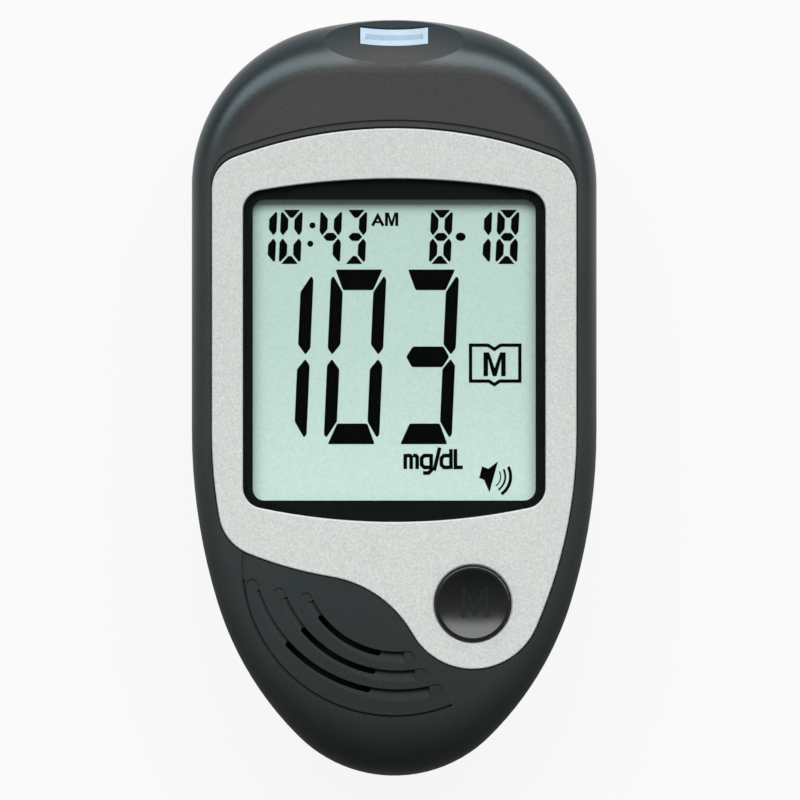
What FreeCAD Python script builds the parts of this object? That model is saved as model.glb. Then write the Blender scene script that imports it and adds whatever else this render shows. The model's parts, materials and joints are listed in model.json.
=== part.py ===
import FreeCAD, Part
import math
import os
from collections import namedtuple
from enum import IntEnum

import Sketcher
from FreeCAD import Placement, Rotation, Vector

# Blood glucose meter, hand held, in millimetres.
# The back lies on the plane z = 0, the display looks along +Z and the test strip goes in at the +Y end.

SIZES = {
    # Outline from the front: crown, shoulders, straight sides, drawn-in flanks and a round tail
    "body_width": 52.0,
    "body_length": 97.3,
    "crown_radius": 43.7,
    "shoulder_margin": 5.2,
    "side_radius": 75.0,
    "side_sweep": 17.1,
    "flank_radius": 41.6,
    "tip_margin": 8.7,
    # Shells
    "wall": 2.2,
    "parting_height": 9.0,
    "nose_edge": 7.0,
    "shoulder_edge": 6.0,
    "side_edge": 3.0,
    "flank_edge": 5.7,
    "tail_edge": 7.6,
    "rear_edge": 4.5,
    "seam": 0.3,
    "tongue_height": 1.0,
    "tongue_gap": 0.1,
    "root": 0.3,
    "overcut": 1.0,
    # Stack from the back to the ceiling of the front shell
    "door_recess": 1.5,
    "cell_clearance": 0.45,
    "cell_diameter": 10.5,
    "bay_gap": 0.2,
    "bay_roof": 0.8,
    "board_gap": 0.15,
    "board_thickness": 1.2,
    "chip_space": 2.0,
    "glass_thickness": 0.9,
    "glass_gap": 0.2,
    # Silver plate round the window and the button
    "bezel_inset": 2.58,
    "bezel_land": 14.06,
    "bezel_top_radius": 58.6,
    "bezel_corner": 4.4,
    "bezel_recess": 1.2,
    "bezel_thickness": 1.0,
    "bezel_gap": 0.12,
    "bezel_edge": 0.2,
    "brow_gap": 0.15,
    "brow_ledge": 1.0,
    "brow_depth": 0.3,
    "bezel_flank_rise": 21.99,
    "heel_rise": 12.14,
    "heel_share": 0.2374,
    "run_share": 1.9096,
    "waist_drop_share": 0.4297,
    "waist_share": 0.5704,
    "lobe_margin": 4.0,
    "lobe_rise": 0.45,
    "button_ring": 0.2,
    # Window and display
    "window_margin": 6.68,
    "window_brow": 6.57,
    "window_sill": 10.59,
    "window_top_share": 5.176,
    "window_bottom_share": 4.317,
    "window_corner": 2.6,
    "window_gap": 0.1,
    "window_thickness": 0.85,
    "window_edge": 0.2,
    "gasket_thickness": 0.15,
    "border_side": 1.17,
    "border_top": 2.57,
    "border_bottom": 2.66,
    "display_corner": 1.5,
    "opening_margin": 0.4,
    "glass_margin": 1.45,
    "glass_ledge": 2.5,
    "holder_gap": 0.15,
    "holder_wall": 1.0,
    "holder_drop": 0.1,
    "zebra_thickness": 1.6,
    # Main button and its switch
    "button_share": 0.388,
    "button_from_tail": 22.23,
    "button_radius": 4.85,
    "button_gap": 0.13,
    "button_rise": 0.1,
    "dish_depth": 0.9,
    "dish_rim": 0.45,
    "button_round": 0.25,
    "flange_radius": 5.7,
    "flange_thickness": 0.8,
    "flange_gap": 0.1,
    "stem_radius": 1.5,
    "switch_width": 6.0,
    "switch_height": 2.1,
    "plunger_radius": 1.75,
    "plunger_gap": 0.1,
    "plunger_rise": 0.8,
    "plunger_sink": 1.1,
    "plunger_room": 1.7,
    # Speaker grille and speaker
    "panel_from_tail": 27.25,
    "panel_share": 0.754,
    "panel_fade": 13.0,
    "panel_tilt": 0.9,
    "rim_width": 0.3,
    "rim_depth": 0.3,
    "rim_left": 84.0,
    "rim_right": -22.0,
    "groove_rows": 3,
    "groove_aside": 0.4,
    "groove_rise": 0.87,
    "groove_rise_step": 0.85,
    "groove_base": 6.34,
    "groove_share": 0.235,
    "groove_pitch": 3.27,
    "groove_width": 1.6,
    "groove_step": 0.05,
    "groove_depth": 0.15,
    "groove_left": 66.0,
    "groove_left_step": 4.2,
    "groove_right": -6.5,
    "groove_right_step": -4.3,
    "ramp_low": 0.9,
    "ramp_high": 0.35,
    "ramp_end": 2.5,
    "slot_width": 0.7,
    "slot_left": 52.0,
    "slot_left_step": -2.1,
    "slot_right": 11.5,
    "speaker_angle": 31.0,
    "speaker_base": 4.68,
    "speaker_share": 0.07,
    "speaker_height": 2.6,
    "speaker_wall": 0.6,
    "speaker_gap": 0.25,
    "ring_wall": 1.0,
    "ring_depth": 3.2,
    "gasket_height": 0.5,
    "gasket_drop": 0.25,
    "gasket_width": 1.1,
    "gasket_inset": 0.15,
    "cone_thickness": 0.3,
    "cone_depth": 1.0,
    "magnet_radius": 3.5,
    "magnet_drop": 1.2,
    "lead_radius": 0.35,
    "lead_gap": 0.05,
    "lead_spacing": 2.0,
    "lead_reach": 1.8,
    "lead_bend": 0.9,
    "lead_drop": 0.7,
    # Strip port
    "facet_back": 5.85,
    "facet_tilt": 45.0,
    "facet_hollow": 45.0,
    "strip_depth": 1.4,
    "guide_width": 8.7,
    "guide_height": 2.16,
    "guide_back": 6.5,
    "guide_sink": 0.15,
    "guide_flange": 1.0,
    "guide_flange_drop": 0.6,
    "port_gap": 0.1,
    "strip_width": 7.4,
    "strip_slot": 0.7,
    "connector_width": 11.2,
    "connector_length": 9.0,
    "connector_roof": 0.9,
    "connector_gap": 0.1,
    "connector_back_wall": 1.0,
    "blade_width": 0.8,
    "blade_pitch": 2.3,
    "blade_thickness": 0.25,
    "blade_gap": 0.1,
    "blade_bump": 0.3,
    "blade_foot": 0.8,
    # Circuit board
    "board_inset": 3.4,
    "board_tail": 24.15,
    "tab_tail": 17.15,
    "tab_left": 3.2,
    "chip_height": 1.2,
    "chip_gap": 0.7,
    "chip_edge_gap": 5.0,
    "controller_share": 0.26,
    "voice_share": 0.18,
    "memory_share": 0.13,
    "crystal_length_share": 0.16,
    "crystal_width_share": 0.06,
    "leg_length": 0.9,
    "leg_thickness": 0.2,
    # Screws
    "post_radius": 2.5,
    "post_margin": 8.5,
    "post_from_nose": 16.65,
    "post_gap": 0.29,
    "post_from_tail": 27.15,
    "screw_radius": 1.0,
    "screw_gap": 0.05,
    "screw_hole_gap": 0.2,
    "screw_seat": 4.0,
    "screw_end_gap": 1.3,
    "boss_radius": 2.1,
    "boss_wall": 0.8,
    "screw_head_radius": 2.2,
    "screw_head_height": 1.6,
    "board_post_radius": 1.9,
    "board_post_reach": 11.0,
    "board_post_from_nose": 10.5,
    "board_screw_radius": 0.8,
    "board_screw_length": 4.0,
    "board_head_radius": 1.7,
    "board_head_height": 1.1,
    "cross_reach": 0.6,
    "cross_width": 0.17,
    "cross_depth": 0.55,
    # Battery bay
    "cell_length": 44.5,
    "nub_radius": 1.9,
    "nub_length": 1.0,
    "cell_round": 0.5,
    "cell_gap": 0.7,
    "bay_side_gap": 0.85,
    "bay_wall": 1.2,
    "bay_offset": 1.0,
    "plate_thickness": 0.4,
    "plate_width": 9.0,
    "plate_height": 9.2,
    "tail_width": 2.0,
    "tail_gap": 0.2,
    "spring_length": 5.7,
    "spring_radius": 2.6,
    "spring_wire": 0.5,
    "spring_rise": 0.9,
    "spring_turns": 2.5,
    "spring_lead": 60.0,
    # Clock setting key in the bay
    "set_reach": 2.5,
    "set_half_width": 4.0,
    "set_shelf": 0.8,
    "set_radius": 1.75,
    "set_gap": 0.15,
    "set_flange": 2.5,
    "set_flange_thickness": 0.6,
    "set_flange_gap": 0.1,
    "set_head": 0.8,
    "set_switch_width": 4.6,
    "set_switch_height": 1.4,
    "set_plunger_radius": 1.2,
    "set_plunger_rise": 0.6,
    "set_plunger_sink": 0.5,
    "set_plunger_room": 1.0,
    # Battery door
    "door_margin": 1.6,
    "door_gap": 0.2,
    "door_sink": 0.15,
    "door_thickness": 1.2,
    "hinge_margin": 2.3,
    "pin_radius": 0.45,
    "pin_length": 1.0,
    "pin_gap": 0.05,
    "pin_end_gap": 0.2,
    "knuckle_gap": 0.15,
    "thumb_half_width": 4.0,
    "thumb_reach": 1.4,
    "scallop_radius": 5.4,
    "scallop_shift": 1.2,
    "grip_width": 12.0,
    "grip_pitch": 1.5,
    "grip_depth": 0.3,
    "grip_groove": 0.7,
    "grip_back": 2.5,
}

NEAR = 1e-4
CONTACT_BLADES = (-1, 0, 1)
GRIP_GROOVES = (0, 1, 2)
CONTROLLER_LEGS = 7
VOICE_LEGS = 5
MEMORY_LEGS = 4
LEGS_PER_PITCH = 3
CRYSTAL_ROUNDING = 0.8
WIRE_POINTS = 240


class Spot(IntEnum):
    """Which point of a drawn line or arc a constraint holds."""

    START = 1
    END = 2
    CENTRE = 3


START, END, CENTRE = Spot

Bend = namedtuple("Bend", "x y turn")

doc = FreeCAD.newDocument("glucose_meter")
sheet = doc.addObject("Spreadsheet::Sheet", "Sizes")
for row, (alias, number) in enumerate(SIZES.items(), start=1):
    sheet.set("A%d" % row, alias)
    sheet.set("B%d" % row, str(number))
    sheet.setAlias("B%d" % row, alias)
doc.recompute()


# Sizes that carry their formula

class Size:
    """A number together with the formula that ties it to the sheet."""

    def __init__(self, value, text):
        self.value = float(value)
        self.text = text

    def __add__(self, other):
        other = as_size(other)
        return Size(self.value + other.value, "(%s + %s)" % (self.text, other.text))

    def __sub__(self, other):
        other = as_size(other)
        return Size(self.value - other.value, "(%s - %s)" % (self.text, other.text))

    def __mul__(self, other):
        other = as_size(other)
        return Size(self.value * other.value, "(%s * %s)" % (self.text, other.text))

    def __truediv__(self, other):
        other = as_size(other)
        return Size(self.value / other.value, "(%s / %s)" % (self.text, other.text))

    def __radd__(self, other):
        return as_size(other) + self

    def __rsub__(self, other):
        return as_size(other) - self

    def __rmul__(self, other):
        return as_size(other) * self

    def __neg__(self):
        return as_size(0) - self


def as_size(number):
    return number if isinstance(number, Size) else Size(number, repr(number))


def size(alias):
    return Size(getattr(sheet, alias), "Sizes." + alias)


def sine(angle):
    angle = as_size(angle)
    return Size(math.sin(math.radians(angle.value)), "sin(%s * 1 deg)" % angle.text)


def cosine(angle):
    angle = as_size(angle)
    return Size(math.cos(math.radians(angle.value)), "cos(%s * 1 deg)" % angle.text)


def tangent(angle):
    angle = as_size(angle)
    return Size(math.tan(math.radians(angle.value)), "tan(%s * 1 deg)" % angle.text)


def root(number):
    return Size(math.sqrt(number.value), "sqrt(%s)" % number.text)


# Heights from the back

CELL_AXIS = size("door_recess") + size("cell_clearance") + size("cell_diameter") / 2
BAY_TOP = CELL_AXIS + size("cell_diameter") / 2 + size("bay_gap")
ROOF_TOP = BAY_TOP + size("bay_roof")
BOARD_BOTTOM = ROOF_TOP + size("board_gap")
BOARD_TOP = BOARD_BOTTOM + size("board_thickness")
GLASS_BACK = BOARD_TOP + size("chip_space")
GLASS_MIDDLE = GLASS_BACK + size("glass_thickness")
GLASS_FRONT = GLASS_MIDDLE + size("glass_thickness")
CEILING = GLASS_FRONT + size("glass_gap")
FRONT = CEILING + size("wall")
RECESS_FLOOR = FRONT - size("bezel_recess")
PARTING = size("parting_height")

# Places seen from the front

HALF_WIDTH = size("body_width") / 2
NOSE = size("body_length") / 2
TAIL = -NOSE
BEZEL_TOP = NOSE - size("bezel_land")
BUTTON_X = size("button_share") * HALF_WIDTH
BUTTON_Y = TAIL + size("button_from_tail")
WINDOW_TOP = BEZEL_TOP - size("window_brow")
WINDOW_BOTTOM = BUTTON_Y + size("window_sill")
WINDOW_X = HALF_WIDTH - size("window_margin")
DISPLAY_X = WINDOW_X - size("border_side")
DISPLAY_TOP = WINDOW_TOP - size("border_top")
DISPLAY_BOTTOM = WINDOW_BOTTOM + size("border_bottom")
GLASS_X = DISPLAY_X + size("glass_margin")
GLASS_TOP = DISPLAY_TOP + size("glass_margin")
GLASS_BOTTOM = DISPLAY_BOTTOM - size("glass_margin")
LEDGE_BOTTOM = GLASS_BOTTOM - size("glass_ledge")
PANEL_Y = TAIL + size("panel_from_tail")
GROOVE_RADIUS = size("groove_base") + size("groove_share") * HALF_WIDTH
SPEAKER_RADIUS = size("speaker_base") + size("speaker_share") * HALF_WIDTH
GROOVE_Y = PANEL_Y + size("groove_rise")
SPEAKER_ROW = GROOVE_RADIUS + size("groove_pitch")
SPEAKER_X = size("groove_aside") - SPEAKER_ROW * sine(size("speaker_angle"))
SPEAKER_Y = GROOVE_Y + size("groove_rise_step") - SPEAKER_ROW * cosine(size("speaker_angle"))
POST_CLEAR = size("flange_radius") + size("post_radius") + size("post_gap")
LOW_POST_RISE = size("post_from_tail") - size("button_from_tail")
LOW_POST_X = BUTTON_X + root(POST_CLEAR * POST_CLEAR - LOW_POST_RISE * LOW_POST_RISE)
HOUSING_POSTS = [
    (HALF_WIDTH - size("post_margin"), NOSE - size("post_from_nose")),
    (size("post_margin") - HALF_WIDTH, NOSE - size("post_from_nose")),
    (LOW_POST_X, TAIL + size("post_from_tail")),
    (-LOW_POST_X, TAIL + size("post_from_tail")),
]
BOARD_POSTS = [
    (size("board_post_reach"), NOSE - size("board_post_from_nose")),
    (-size("board_post_reach"), NOSE - size("board_post_from_nose")),
]

# Strip path

STRIP_Z = CEILING - size("strip_depth")
GUIDE_BACK = NOSE - size("guide_back")
CONNECTOR_FRONT = GUIDE_BACK - size("connector_gap")
CONNECTOR_BACK = CONNECTOR_FRONT - size("connector_length")

# Battery bay

CELL_X = (size("cell_diameter") + size("cell_gap")) / 2
BAY_X = CELL_X + size("cell_diameter") / 2 + size("bay_side_gap")
BAY_LENGTH = size("cell_length") + size("spring_length") + 2 * size("plate_thickness")
BAY_HIGH = size("bay_offset") + BAY_LENGTH / 2
BAY_LOW = size("bay_offset") - BAY_LENGTH / 2
PLATE_HIGH = BAY_HIGH - size("plate_thickness")
PLATE_LOW = BAY_LOW + size("plate_thickness")
SET_Y = BAY_HIGH + size("bay_wall") + size("set_reach")
SET_END = SET_Y + size("set_reach")
SET_SWITCH_BOTTOM = BOARD_BOTTOM - size("set_switch_height")
SET_FLANGE_TOP = SET_SWITCH_BOTTOM - size("set_plunger_rise")
SHELF_TOP = SET_FLANGE_TOP - size("set_flange_thickness") - size("set_flange_gap")
SHELF_BOTTOM = SHELF_TOP - size("set_shelf")
DOOR_X = BAY_X + size("door_margin")
DOOR_END = SET_END + size("bay_wall") + size("door_gap")
HINGE_Y = BAY_LOW - size("hinge_margin")
HINGE_Z = size("door_sink") + size("door_thickness") / 2
RECESS_LOW = HINGE_Y - size("door_thickness") / 2 - size("knuckle_gap")
RECESS_HIGH = DOOR_END + size("door_gap")


# Sketches

class Drawing:
    """A sketch on one of its own body's planes, with every point and radius tied to the sheet."""

    def __init__(self, body, role="XY_Plane", level=0):
        self.body = body
        self.sketch = body.newObject("Sketcher::SketchObject", "Sketch")
        plane = next(item for item in body.Origin.OriginFeatures if item.Role == role)
        self.sketch.AttachmentSupport = [(plane, "")]
        self.sketch.MapMode = "FlatFace"
        self.sketch.setExpression("AttachmentOffset.Base.z", as_size(level).text)

    def lean(self, axis, angle):
        """Turns the plane of the sketch about an axis of its own."""
        for name, part in zip("xyz", axis):
            self.sketch.setExpression("AttachmentOffset.Rotation.Axis." + name, repr(part))
        self.sketch.setExpression("AttachmentOffset.Rotation.Angle", angle.text + " * 1 deg")

    def bind(self, kind, *where, to):
        to = as_size(to)
        index = self.sketch.addConstraint(Sketcher.Constraint(kind, *where, to.value))
        self.sketch.setExpression("Constraints[%d]" % index, to.text)

    def relate(self, kind, *where):
        self.sketch.addConstraint(Sketcher.Constraint(kind, *where))

    def pin(self, piece, point, x=None, y=None):
        if x is not None:
            self.bind("DistanceX", -1, 1, piece, point, to=x)
        if y is not None:
            self.bind("DistanceY", -1, 1, piece, point, to=y)

    def circle(self, x, y, radius):
        middle = Vector(as_size(x).value, as_size(y).value, 0)
        ring = self.sketch.addGeometry(Part.Circle(middle, Vector(0, 0, 1), radius.value))
        self.pin(ring, CENTRE, x, y)
        self.bind("Radius", ring, to=radius)

    def polygon(self, *corners):
        first = self.sketch.GeometryCount
        points = [Vector(as_size(x).value, as_size(y).value, 0) for x, y in corners]
        for start, end in zip(points, points[1:] + points[:1]):
            self.sketch.addGeometry(Part.LineSegment(start, end))
        for index, (x, y) in enumerate(corners):
            following = (index + 1) % len(corners)
            self.relate("Coincident", first + index, END, first + following, START)
            self.pin(first + index, START, x, y)

    def box(self, left, bottom, right, top):
        self.polygon((left, bottom), (right, bottom), (right, top), (left, top))

    def loop(self, joints, bends):
        """Closed run of lines (no bend) and arcs that flow into one another at the joints."""
        first = self.sketch.GeometryCount
        for start, end, bend in zip(joints, joints[1:] + joints[:1], bends):
            self.sketch.addGeometry(stretch(start, end, bend))
        ways = [(END, START) if bend and bend.turn < 0 else (START, END) for bend in bends]
        for index, way in enumerate(ways):
            following = (index + 1) % len(ways)
            self.relate("Tangent", first + index, way[1], first + following, ways[following][0])
        return first

    def rounded_box(self, left, bottom, right, top, radius):
        left, bottom, right, top = (as_size(edge) for edge in (left, bottom, right, top))
        x0, x1 = left.value, right.value
        y0, y1 = bottom.value, top.value
        r = radius.value
        joints = [(x0 + r, y0), (x1 - r, y0), (x1, y0 + r), (x1, y1 - r),
                  (x1 - r, y1), (x0 + r, y1), (x0, y1 - r), (x0, y0 + r)]
        bends = [None, Bend(x1 - r, y0 + r, 1), None, Bend(x1 - r, y1 - r, 1),
                 None, Bend(x0 + r, y1 - r, 1), None, Bend(x0 + r, y0 + r, 1)]
        first = self.loop(joints, bends)
        for corner in (1, 3, 5, 7):
            self.bind("Radius", first + corner, to=radius)
        for line, edge in ((0, bottom), (4, top)):
            self.relate("Horizontal", first + line)
            self.pin(first + line, START, y=edge)
        for line, edge in ((2, right), (6, left)):
            self.relate("Vertical", first + line)
            self.pin(first + line, START, x=edge)

    def arc_slot(self, x, y, radius, width, left, right):
        """Slot along an arc about (x, y), between two angles from straight down, positive to the left."""
        x, y = as_size(x), as_size(y)
        outer = radius + width / 2
        inner = radius - width / 2

        def along(reach, angle):
            turn = math.radians(angle.value)
            return (x.value - reach * math.sin(turn), y.value - reach * math.cos(turn))

        joints = [along(outer.value, left), along(outer.value, right),
                  along(inner.value, right), along(inner.value, left)]
        bends = [Bend(x.value, y.value, 1), Bend(*along(radius.value, right), 1),
                 Bend(x.value, y.value, -1), Bend(*along(radius.value, left), 1)]
        first = self.loop(joints, bends)
        self.pin(first, CENTRE, x, y)
        self.bind("Radius", first, to=outer)
        self.bind("Radius", first + 2, to=inner)
        self.relate("Coincident", first + 2, CENTRE, first, CENTRE)
        self.pin(first + 1, CENTRE, x=x - radius * sine(right))
        self.pin(first + 3, CENTRE, y=y - radius * cosine(left))

    def half_disc(self, y, radius):
        """Half disc about (0, y), on the positive side of the upright axis."""
        y = as_size(y)
        middle = Vector(0, y.value, 0)
        circle = Part.Circle(middle, Vector(0, 0, 1), radius.value)
        arc = self.sketch.addGeometry(Part.ArcOfCircle(circle, -math.pi / 2, math.pi / 2))
        reach = Vector(0, radius.value, 0)
        line = self.sketch.addGeometry(Part.LineSegment(middle + reach, middle - reach))
        self.relate("Coincident", arc, END, line, START)
        self.relate("Coincident", line, END, arc, START)
        self.pin(arc, CENTRE, 0, y)
        self.bind("Radius", arc, to=radius)
        self.pin(arc, START, x=0)
        self.pin(arc, END, x=0)


def stretch(start, end, bend):
    """A line or an arc from start to end; an arc is always drawn counter-clockwise."""
    if bend is None:
        return Part.LineSegment(Vector(*start, 0), Vector(*end, 0))
    if bend.turn < 0:
        start, end = end, start
    radius = math.hypot(start[0] - bend.x, start[1] - bend.y)
    circle = Part.Circle(Vector(bend.x, bend.y, 0), Vector(0, 0, 1), radius)
    angles = [math.atan2(point[1] - bend.y, point[0] - bend.x) for point in (start, end)]
    return Part.ArcOfCircle(circle, *angles)


def inner_touch(large, small, large_radius):
    """Where a small circle touches the inside of a large one."""
    reach = math.hypot(small.x - large.x, small.y - large.y)
    scale = large_radius / reach
    return (large.x + scale * (small.x - large.x), large.y + scale * (small.y - large.y))


def mirror(points):
    return [(-x, y) for x, y in reversed(points)]


def outline(drawing, inset=0):
    """The meter's outline, drawn in all round by the inset; returns the joints between its arcs."""
    half_width = HALF_WIDTH - inset
    half_length = NOSE - inset
    flank, side, crown = (size(name) - inset for name in ("flank_radius", "side_radius", "crown_radius"))
    tip = half_width - size("tip_margin")
    shoulder = half_width - size("shoulder_margin")
    turn = math.radians(size("side_sweep").value)
    crown_at = Bend(0, half_length.value - crown.value, 1)
    shoulder_x = half_width.value - shoulder.value
    rise = math.sqrt((crown.value - shoulder.value) ** 2 - shoulder_x ** 2)
    shoulder_at = Bend(shoulder_x, crown_at.y + rise, 1)
    tip_at = Bend(0, tip.value - half_length.value, 1)
    flank_x = half_width.value - side.value + (side.value - flank.value) * math.cos(turn)
    rise = math.sqrt((flank.value - tip.value) ** 2 - flank_x ** 2)
    flank_at = Bend(flank_x, tip_at.y + rise, 1)
    side_at = Bend(half_width.value - side.value,
                   flank_at.y + (side.value - flank.value) * math.sin(turn), 1)
    right = [inner_touch(flank_at, tip_at, flank.value),
             inner_touch(side_at, flank_at, side.value),
             (half_width.value, side_at.y),
             (half_width.value, shoulder_at.y),
             inner_touch(crown_at, shoulder_at, crown.value)]
    joints = [(0, -half_length.value)] + right + [(0, half_length.value)] + mirror(right)
    bends = [tip_at, flank_at, side_at, None, shoulder_at, crown_at]
    bends += [bend and Bend(-bend.x, bend.y, 1) for bend in reversed(bends)]
    radii = [tip, flank, side, None, shoulder, crown]
    radii += radii[::-1]
    first = drawing.loop(joints, bends)
    for piece, radius in enumerate(radii):
        if radius is not None:
            drawing.bind("Radius", first + piece, to=radius)
    for piece, x in ((3, half_width), (8, -half_width)):
        drawing.relate("Vertical", first + piece)
        drawing.pin(first + piece, START, x=x)
    drawing.pin(first, START, 0, -half_length)
    drawing.pin(first + 6, START, 0, half_length)
    drawing.pin(first, CENTRE, x=0)
    drawing.pin(first + 6, CENTRE, x=0)
    for piece in (2, 9):
        angle = drawing.sketch.addConstraint(Sketcher.Constraint("Angle", first + piece, turn))
        drawing.sketch.setExpression("Constraints[%d]" % angle, size("side_sweep").text + " * 1 deg")
    return joints


def bezel_outline(drawing, grow=0, lift=0):
    """The silver plate: arched top, flanks, a lobe round the button and a waist beside the grille."""
    side_x = HALF_WIDTH - size("bezel_inset") + grow
    lobe = size("button_radius") + size("lobe_margin") + grow
    heel = size("heel_share") * HALF_WIDTH + grow
    run = size("run_share") * HALF_WIDTH + grow
    waist = size("waist_share") * HALF_WIDTH - grow
    top = size("bezel_top_radius") + grow
    corner = size("bezel_corner") + grow
    flank_y = BUTTON_Y + size("bezel_flank_rise")
    heel_y = BUTTON_Y + size("heel_rise")
    waist_y = BUTTON_Y - size("waist_drop_share") * HALF_WIDTH
    lobe_y = BUTTON_Y + size("lobe_rise")
    top_y = BEZEL_TOP - size("bezel_top_radius") + lift
    lobe_at = Bend(BUTTON_X.value, lobe_y.value, 1)
    across = side_x.value - lobe_at.x
    up = flank_y.value - lobe_at.y
    flank = (across ** 2 + up ** 2 - lobe.value ** 2) / (2 * (across - lobe.value))
    flank_at = Bend(side_x.value - flank, flank_y.value, 1)
    left_flank_at = Bend(-flank_at.x, flank_at.y, 1)
    reach = math.sqrt((waist.value + lobe.value) ** 2 - (lobe_at.y - waist_y.value) ** 2)
    waist_at = Bend(lobe_at.x - reach, waist_y.value, -1)
    reach = math.sqrt((flank - heel.value) ** 2 - (flank_at.y - heel_y.value) ** 2)
    heel_at = Bend(left_flank_at.x - reach, heel_y.value, 1)
    run_at = crossing(heel_at, run.value - heel.value, waist_at, run.value + waist.value)
    top_at = Bend(0, top_y.value, 1)
    corner_x = side_x.value - corner.value
    corner_at = Bend(corner_x, top_y.value + math.sqrt((top.value - corner.value) ** 2 - corner_x ** 2), 1)
    left_corner_at = Bend(-corner_x, corner_at.y, 1)
    bends = [lobe_at, flank_at, None, corner_at, top_at, left_corner_at, None,
             left_flank_at, heel_at, run_at, waist_at]
    right = [(side_x.value, flank_y.value), (side_x.value, corner_at.y),
             inner_touch(top_at, corner_at, top.value)]
    joints = [inner_touch(lobe_at, waist_at, lobe.value), inner_touch(flank_at, lobe_at, flank)]
    joints += right + mirror(right)
    joints += [inner_touch(left_flank_at, heel_at, flank), inner_touch(run_at, heel_at, run.value),
               inner_touch(run_at, waist_at, run.value)]
    first = drawing.loop(joints, bends)
    for piece, radius in ((0, lobe), (3, corner), (4, top), (5, corner), (8, heel), (9, run), (10, waist)):
        drawing.bind("Radius", first + piece, to=radius)
    for piece, x in ((2, side_x), (6, -side_x)):
        drawing.relate("Vertical", first + piece)
        drawing.pin(first + piece, START, x=x)
    drawing.relate("Equal", first + 1, first + 7)
    drawing.pin(first, CENTRE, BUTTON_X, lobe_y)
    drawing.pin(first + 4, CENTRE, 0, top_y)
    for piece, y in ((1, flank_y), (7, flank_y), (8, heel_y), (10, waist_y)):
        drawing.pin(first + piece, CENTRE, y=y)


def crossing(one, one_radius, other, other_radius):
    """The upper of the two points at the given distances from two others."""
    gap = math.hypot(other.x - one.x, other.y - one.y)
    along = (one_radius ** 2 - other_radius ** 2 + gap ** 2) / (2 * gap)
    aside = math.sqrt(one_radius ** 2 - along ** 2)
    ux, uy = (other.x - one.x) / gap, (other.y - one.y) / gap
    sides = [(one.x + along * ux - way * aside * uy, one.y + along * uy + way * aside * ux)
             for way in (1, -1)]
    return Bend(*max(sides, key=lambda point: point[1]), 1)


def window_outline(drawing, grow=0):
    """The window: straight sides, bowed top and bottom, rounded corners."""
    side_x = WINDOW_X + grow
    top_bow = size("window_top_share") * WINDOW_X
    bottom_bow = size("window_bottom_share") * WINDOW_X
    top = top_bow + grow
    bottom = bottom_bow + grow
    corner = size("window_corner") + grow
    top_y = WINDOW_TOP - top_bow
    bottom_y = WINDOW_BOTTOM + bottom_bow
    corner_x = side_x.value - corner.value
    top_at = Bend(0, top_y.value, 1)
    bottom_at = Bend(0, bottom_y.value, 1)
    high = Bend(corner_x, top_y.value + math.sqrt((top.value - corner.value) ** 2 - corner_x ** 2), 1)
    low = Bend(corner_x, bottom_y.value - math.sqrt((bottom.value - corner.value) ** 2 - corner_x ** 2), 1)
    right = [inner_touch(bottom_at, low, bottom.value), (side_x.value, low.y),
             (side_x.value, high.y), inner_touch(top_at, high, top.value)]
    bends = [low, None, high, top_at, Bend(-high.x, high.y, 1), None, Bend(-low.x, low.y, 1), bottom_at]
    first = drawing.loop(right + mirror(right), bends)
    for piece, radius in ((0, corner), (2, corner), (3, top), (4, corner), (6, corner), (7, bottom)):
        drawing.bind("Radius", first + piece, to=radius)
    for piece, x in ((1, side_x), (5, -side_x)):
        drawing.relate("Vertical", first + piece)
        drawing.pin(first + piece, START, x=x)
    drawing.pin(first + 3, CENTRE, 0, top_y)
    drawing.pin(first + 7, CENTRE, 0, bottom_y)


# Features

def new_body(label, x=0, y=0, z=0):
    body = doc.addObject("PartDesign::Body", label)
    for axis, place in zip("xyz", (x, y, z)):
        body.setExpression("Placement.Base." + axis, as_size(place).text)
    return body


def volume(body):
    return 0.0 if body.Shape.isNull() else body.Shape.Volume


def pad(drawing, length, along=True, both=False):
    """Adds the drawing's area along its normal, against it, or half to each side."""
    before = volume(drawing.body)
    feature = drawing.body.newObject("PartDesign::Pad", "Pad")
    feature.Profile = drawing.sketch
    feature.setExpression("Length", as_size(length).text)
    feature.Reversed = not along
    feature.SideType = "Symmetric" if both else "One side"
    doc.recompute()
    if volume(drawing.body) <= before:
        raise ValueError("nothing was added to " + drawing.body.Label)


def cut(drawing, depth, along=False, both=False):
    """Removes the drawing's area against its normal, along it, or half to each side."""
    before = volume(drawing.body)
    feature = drawing.body.newObject("PartDesign::Pocket", "Pocket")
    feature.Profile = drawing.sketch
    feature.setExpression("Length", as_size(depth).text)
    feature.Reversed = along
    feature.SideType = "Symmetric" if both else "One side"
    doc.recompute()
    if volume(drawing.body) >= before:
        raise ValueError("nothing was cut from " + drawing.body.Label)


def revolve(drawing, kind="PartDesign::Revolution", sweep=360):
    """Turns the drawing about its upright axis, evenly to both sides, to add or, as a groove, to remove."""
    before = volume(drawing.body)
    feature = drawing.body.newObject(kind, "Turned")
    feature.Profile = drawing.sketch
    feature.ReferenceAxis = (drawing.sketch, ["V_Axis"])
    feature.Midplane = True
    feature.setExpression("Angle", as_size(sweep).text + " * 1 deg")
    doc.recompute()
    grew = volume(drawing.body) > before
    if grew != (kind == "PartDesign::Revolution"):
        raise ValueError("turning changed nothing on " + drawing.body.Label)


def edges_at(shape, level):
    """Numbers of the edges that lie wholly at one height."""
    box_heights = [(edge.BoundBox.ZMin, edge.BoundBox.ZMax) for edge in shape.Edges]
    return [index + 1 for index, (low, high) in enumerate(box_heights)
            if abs(low - level.value) < NEAR and abs(high - level.value) < NEAR]


def is_ring(edge, radius):
    return abs(getattr(edge.Curve, "Radius", 0) - radius.value) < NEAR


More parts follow.
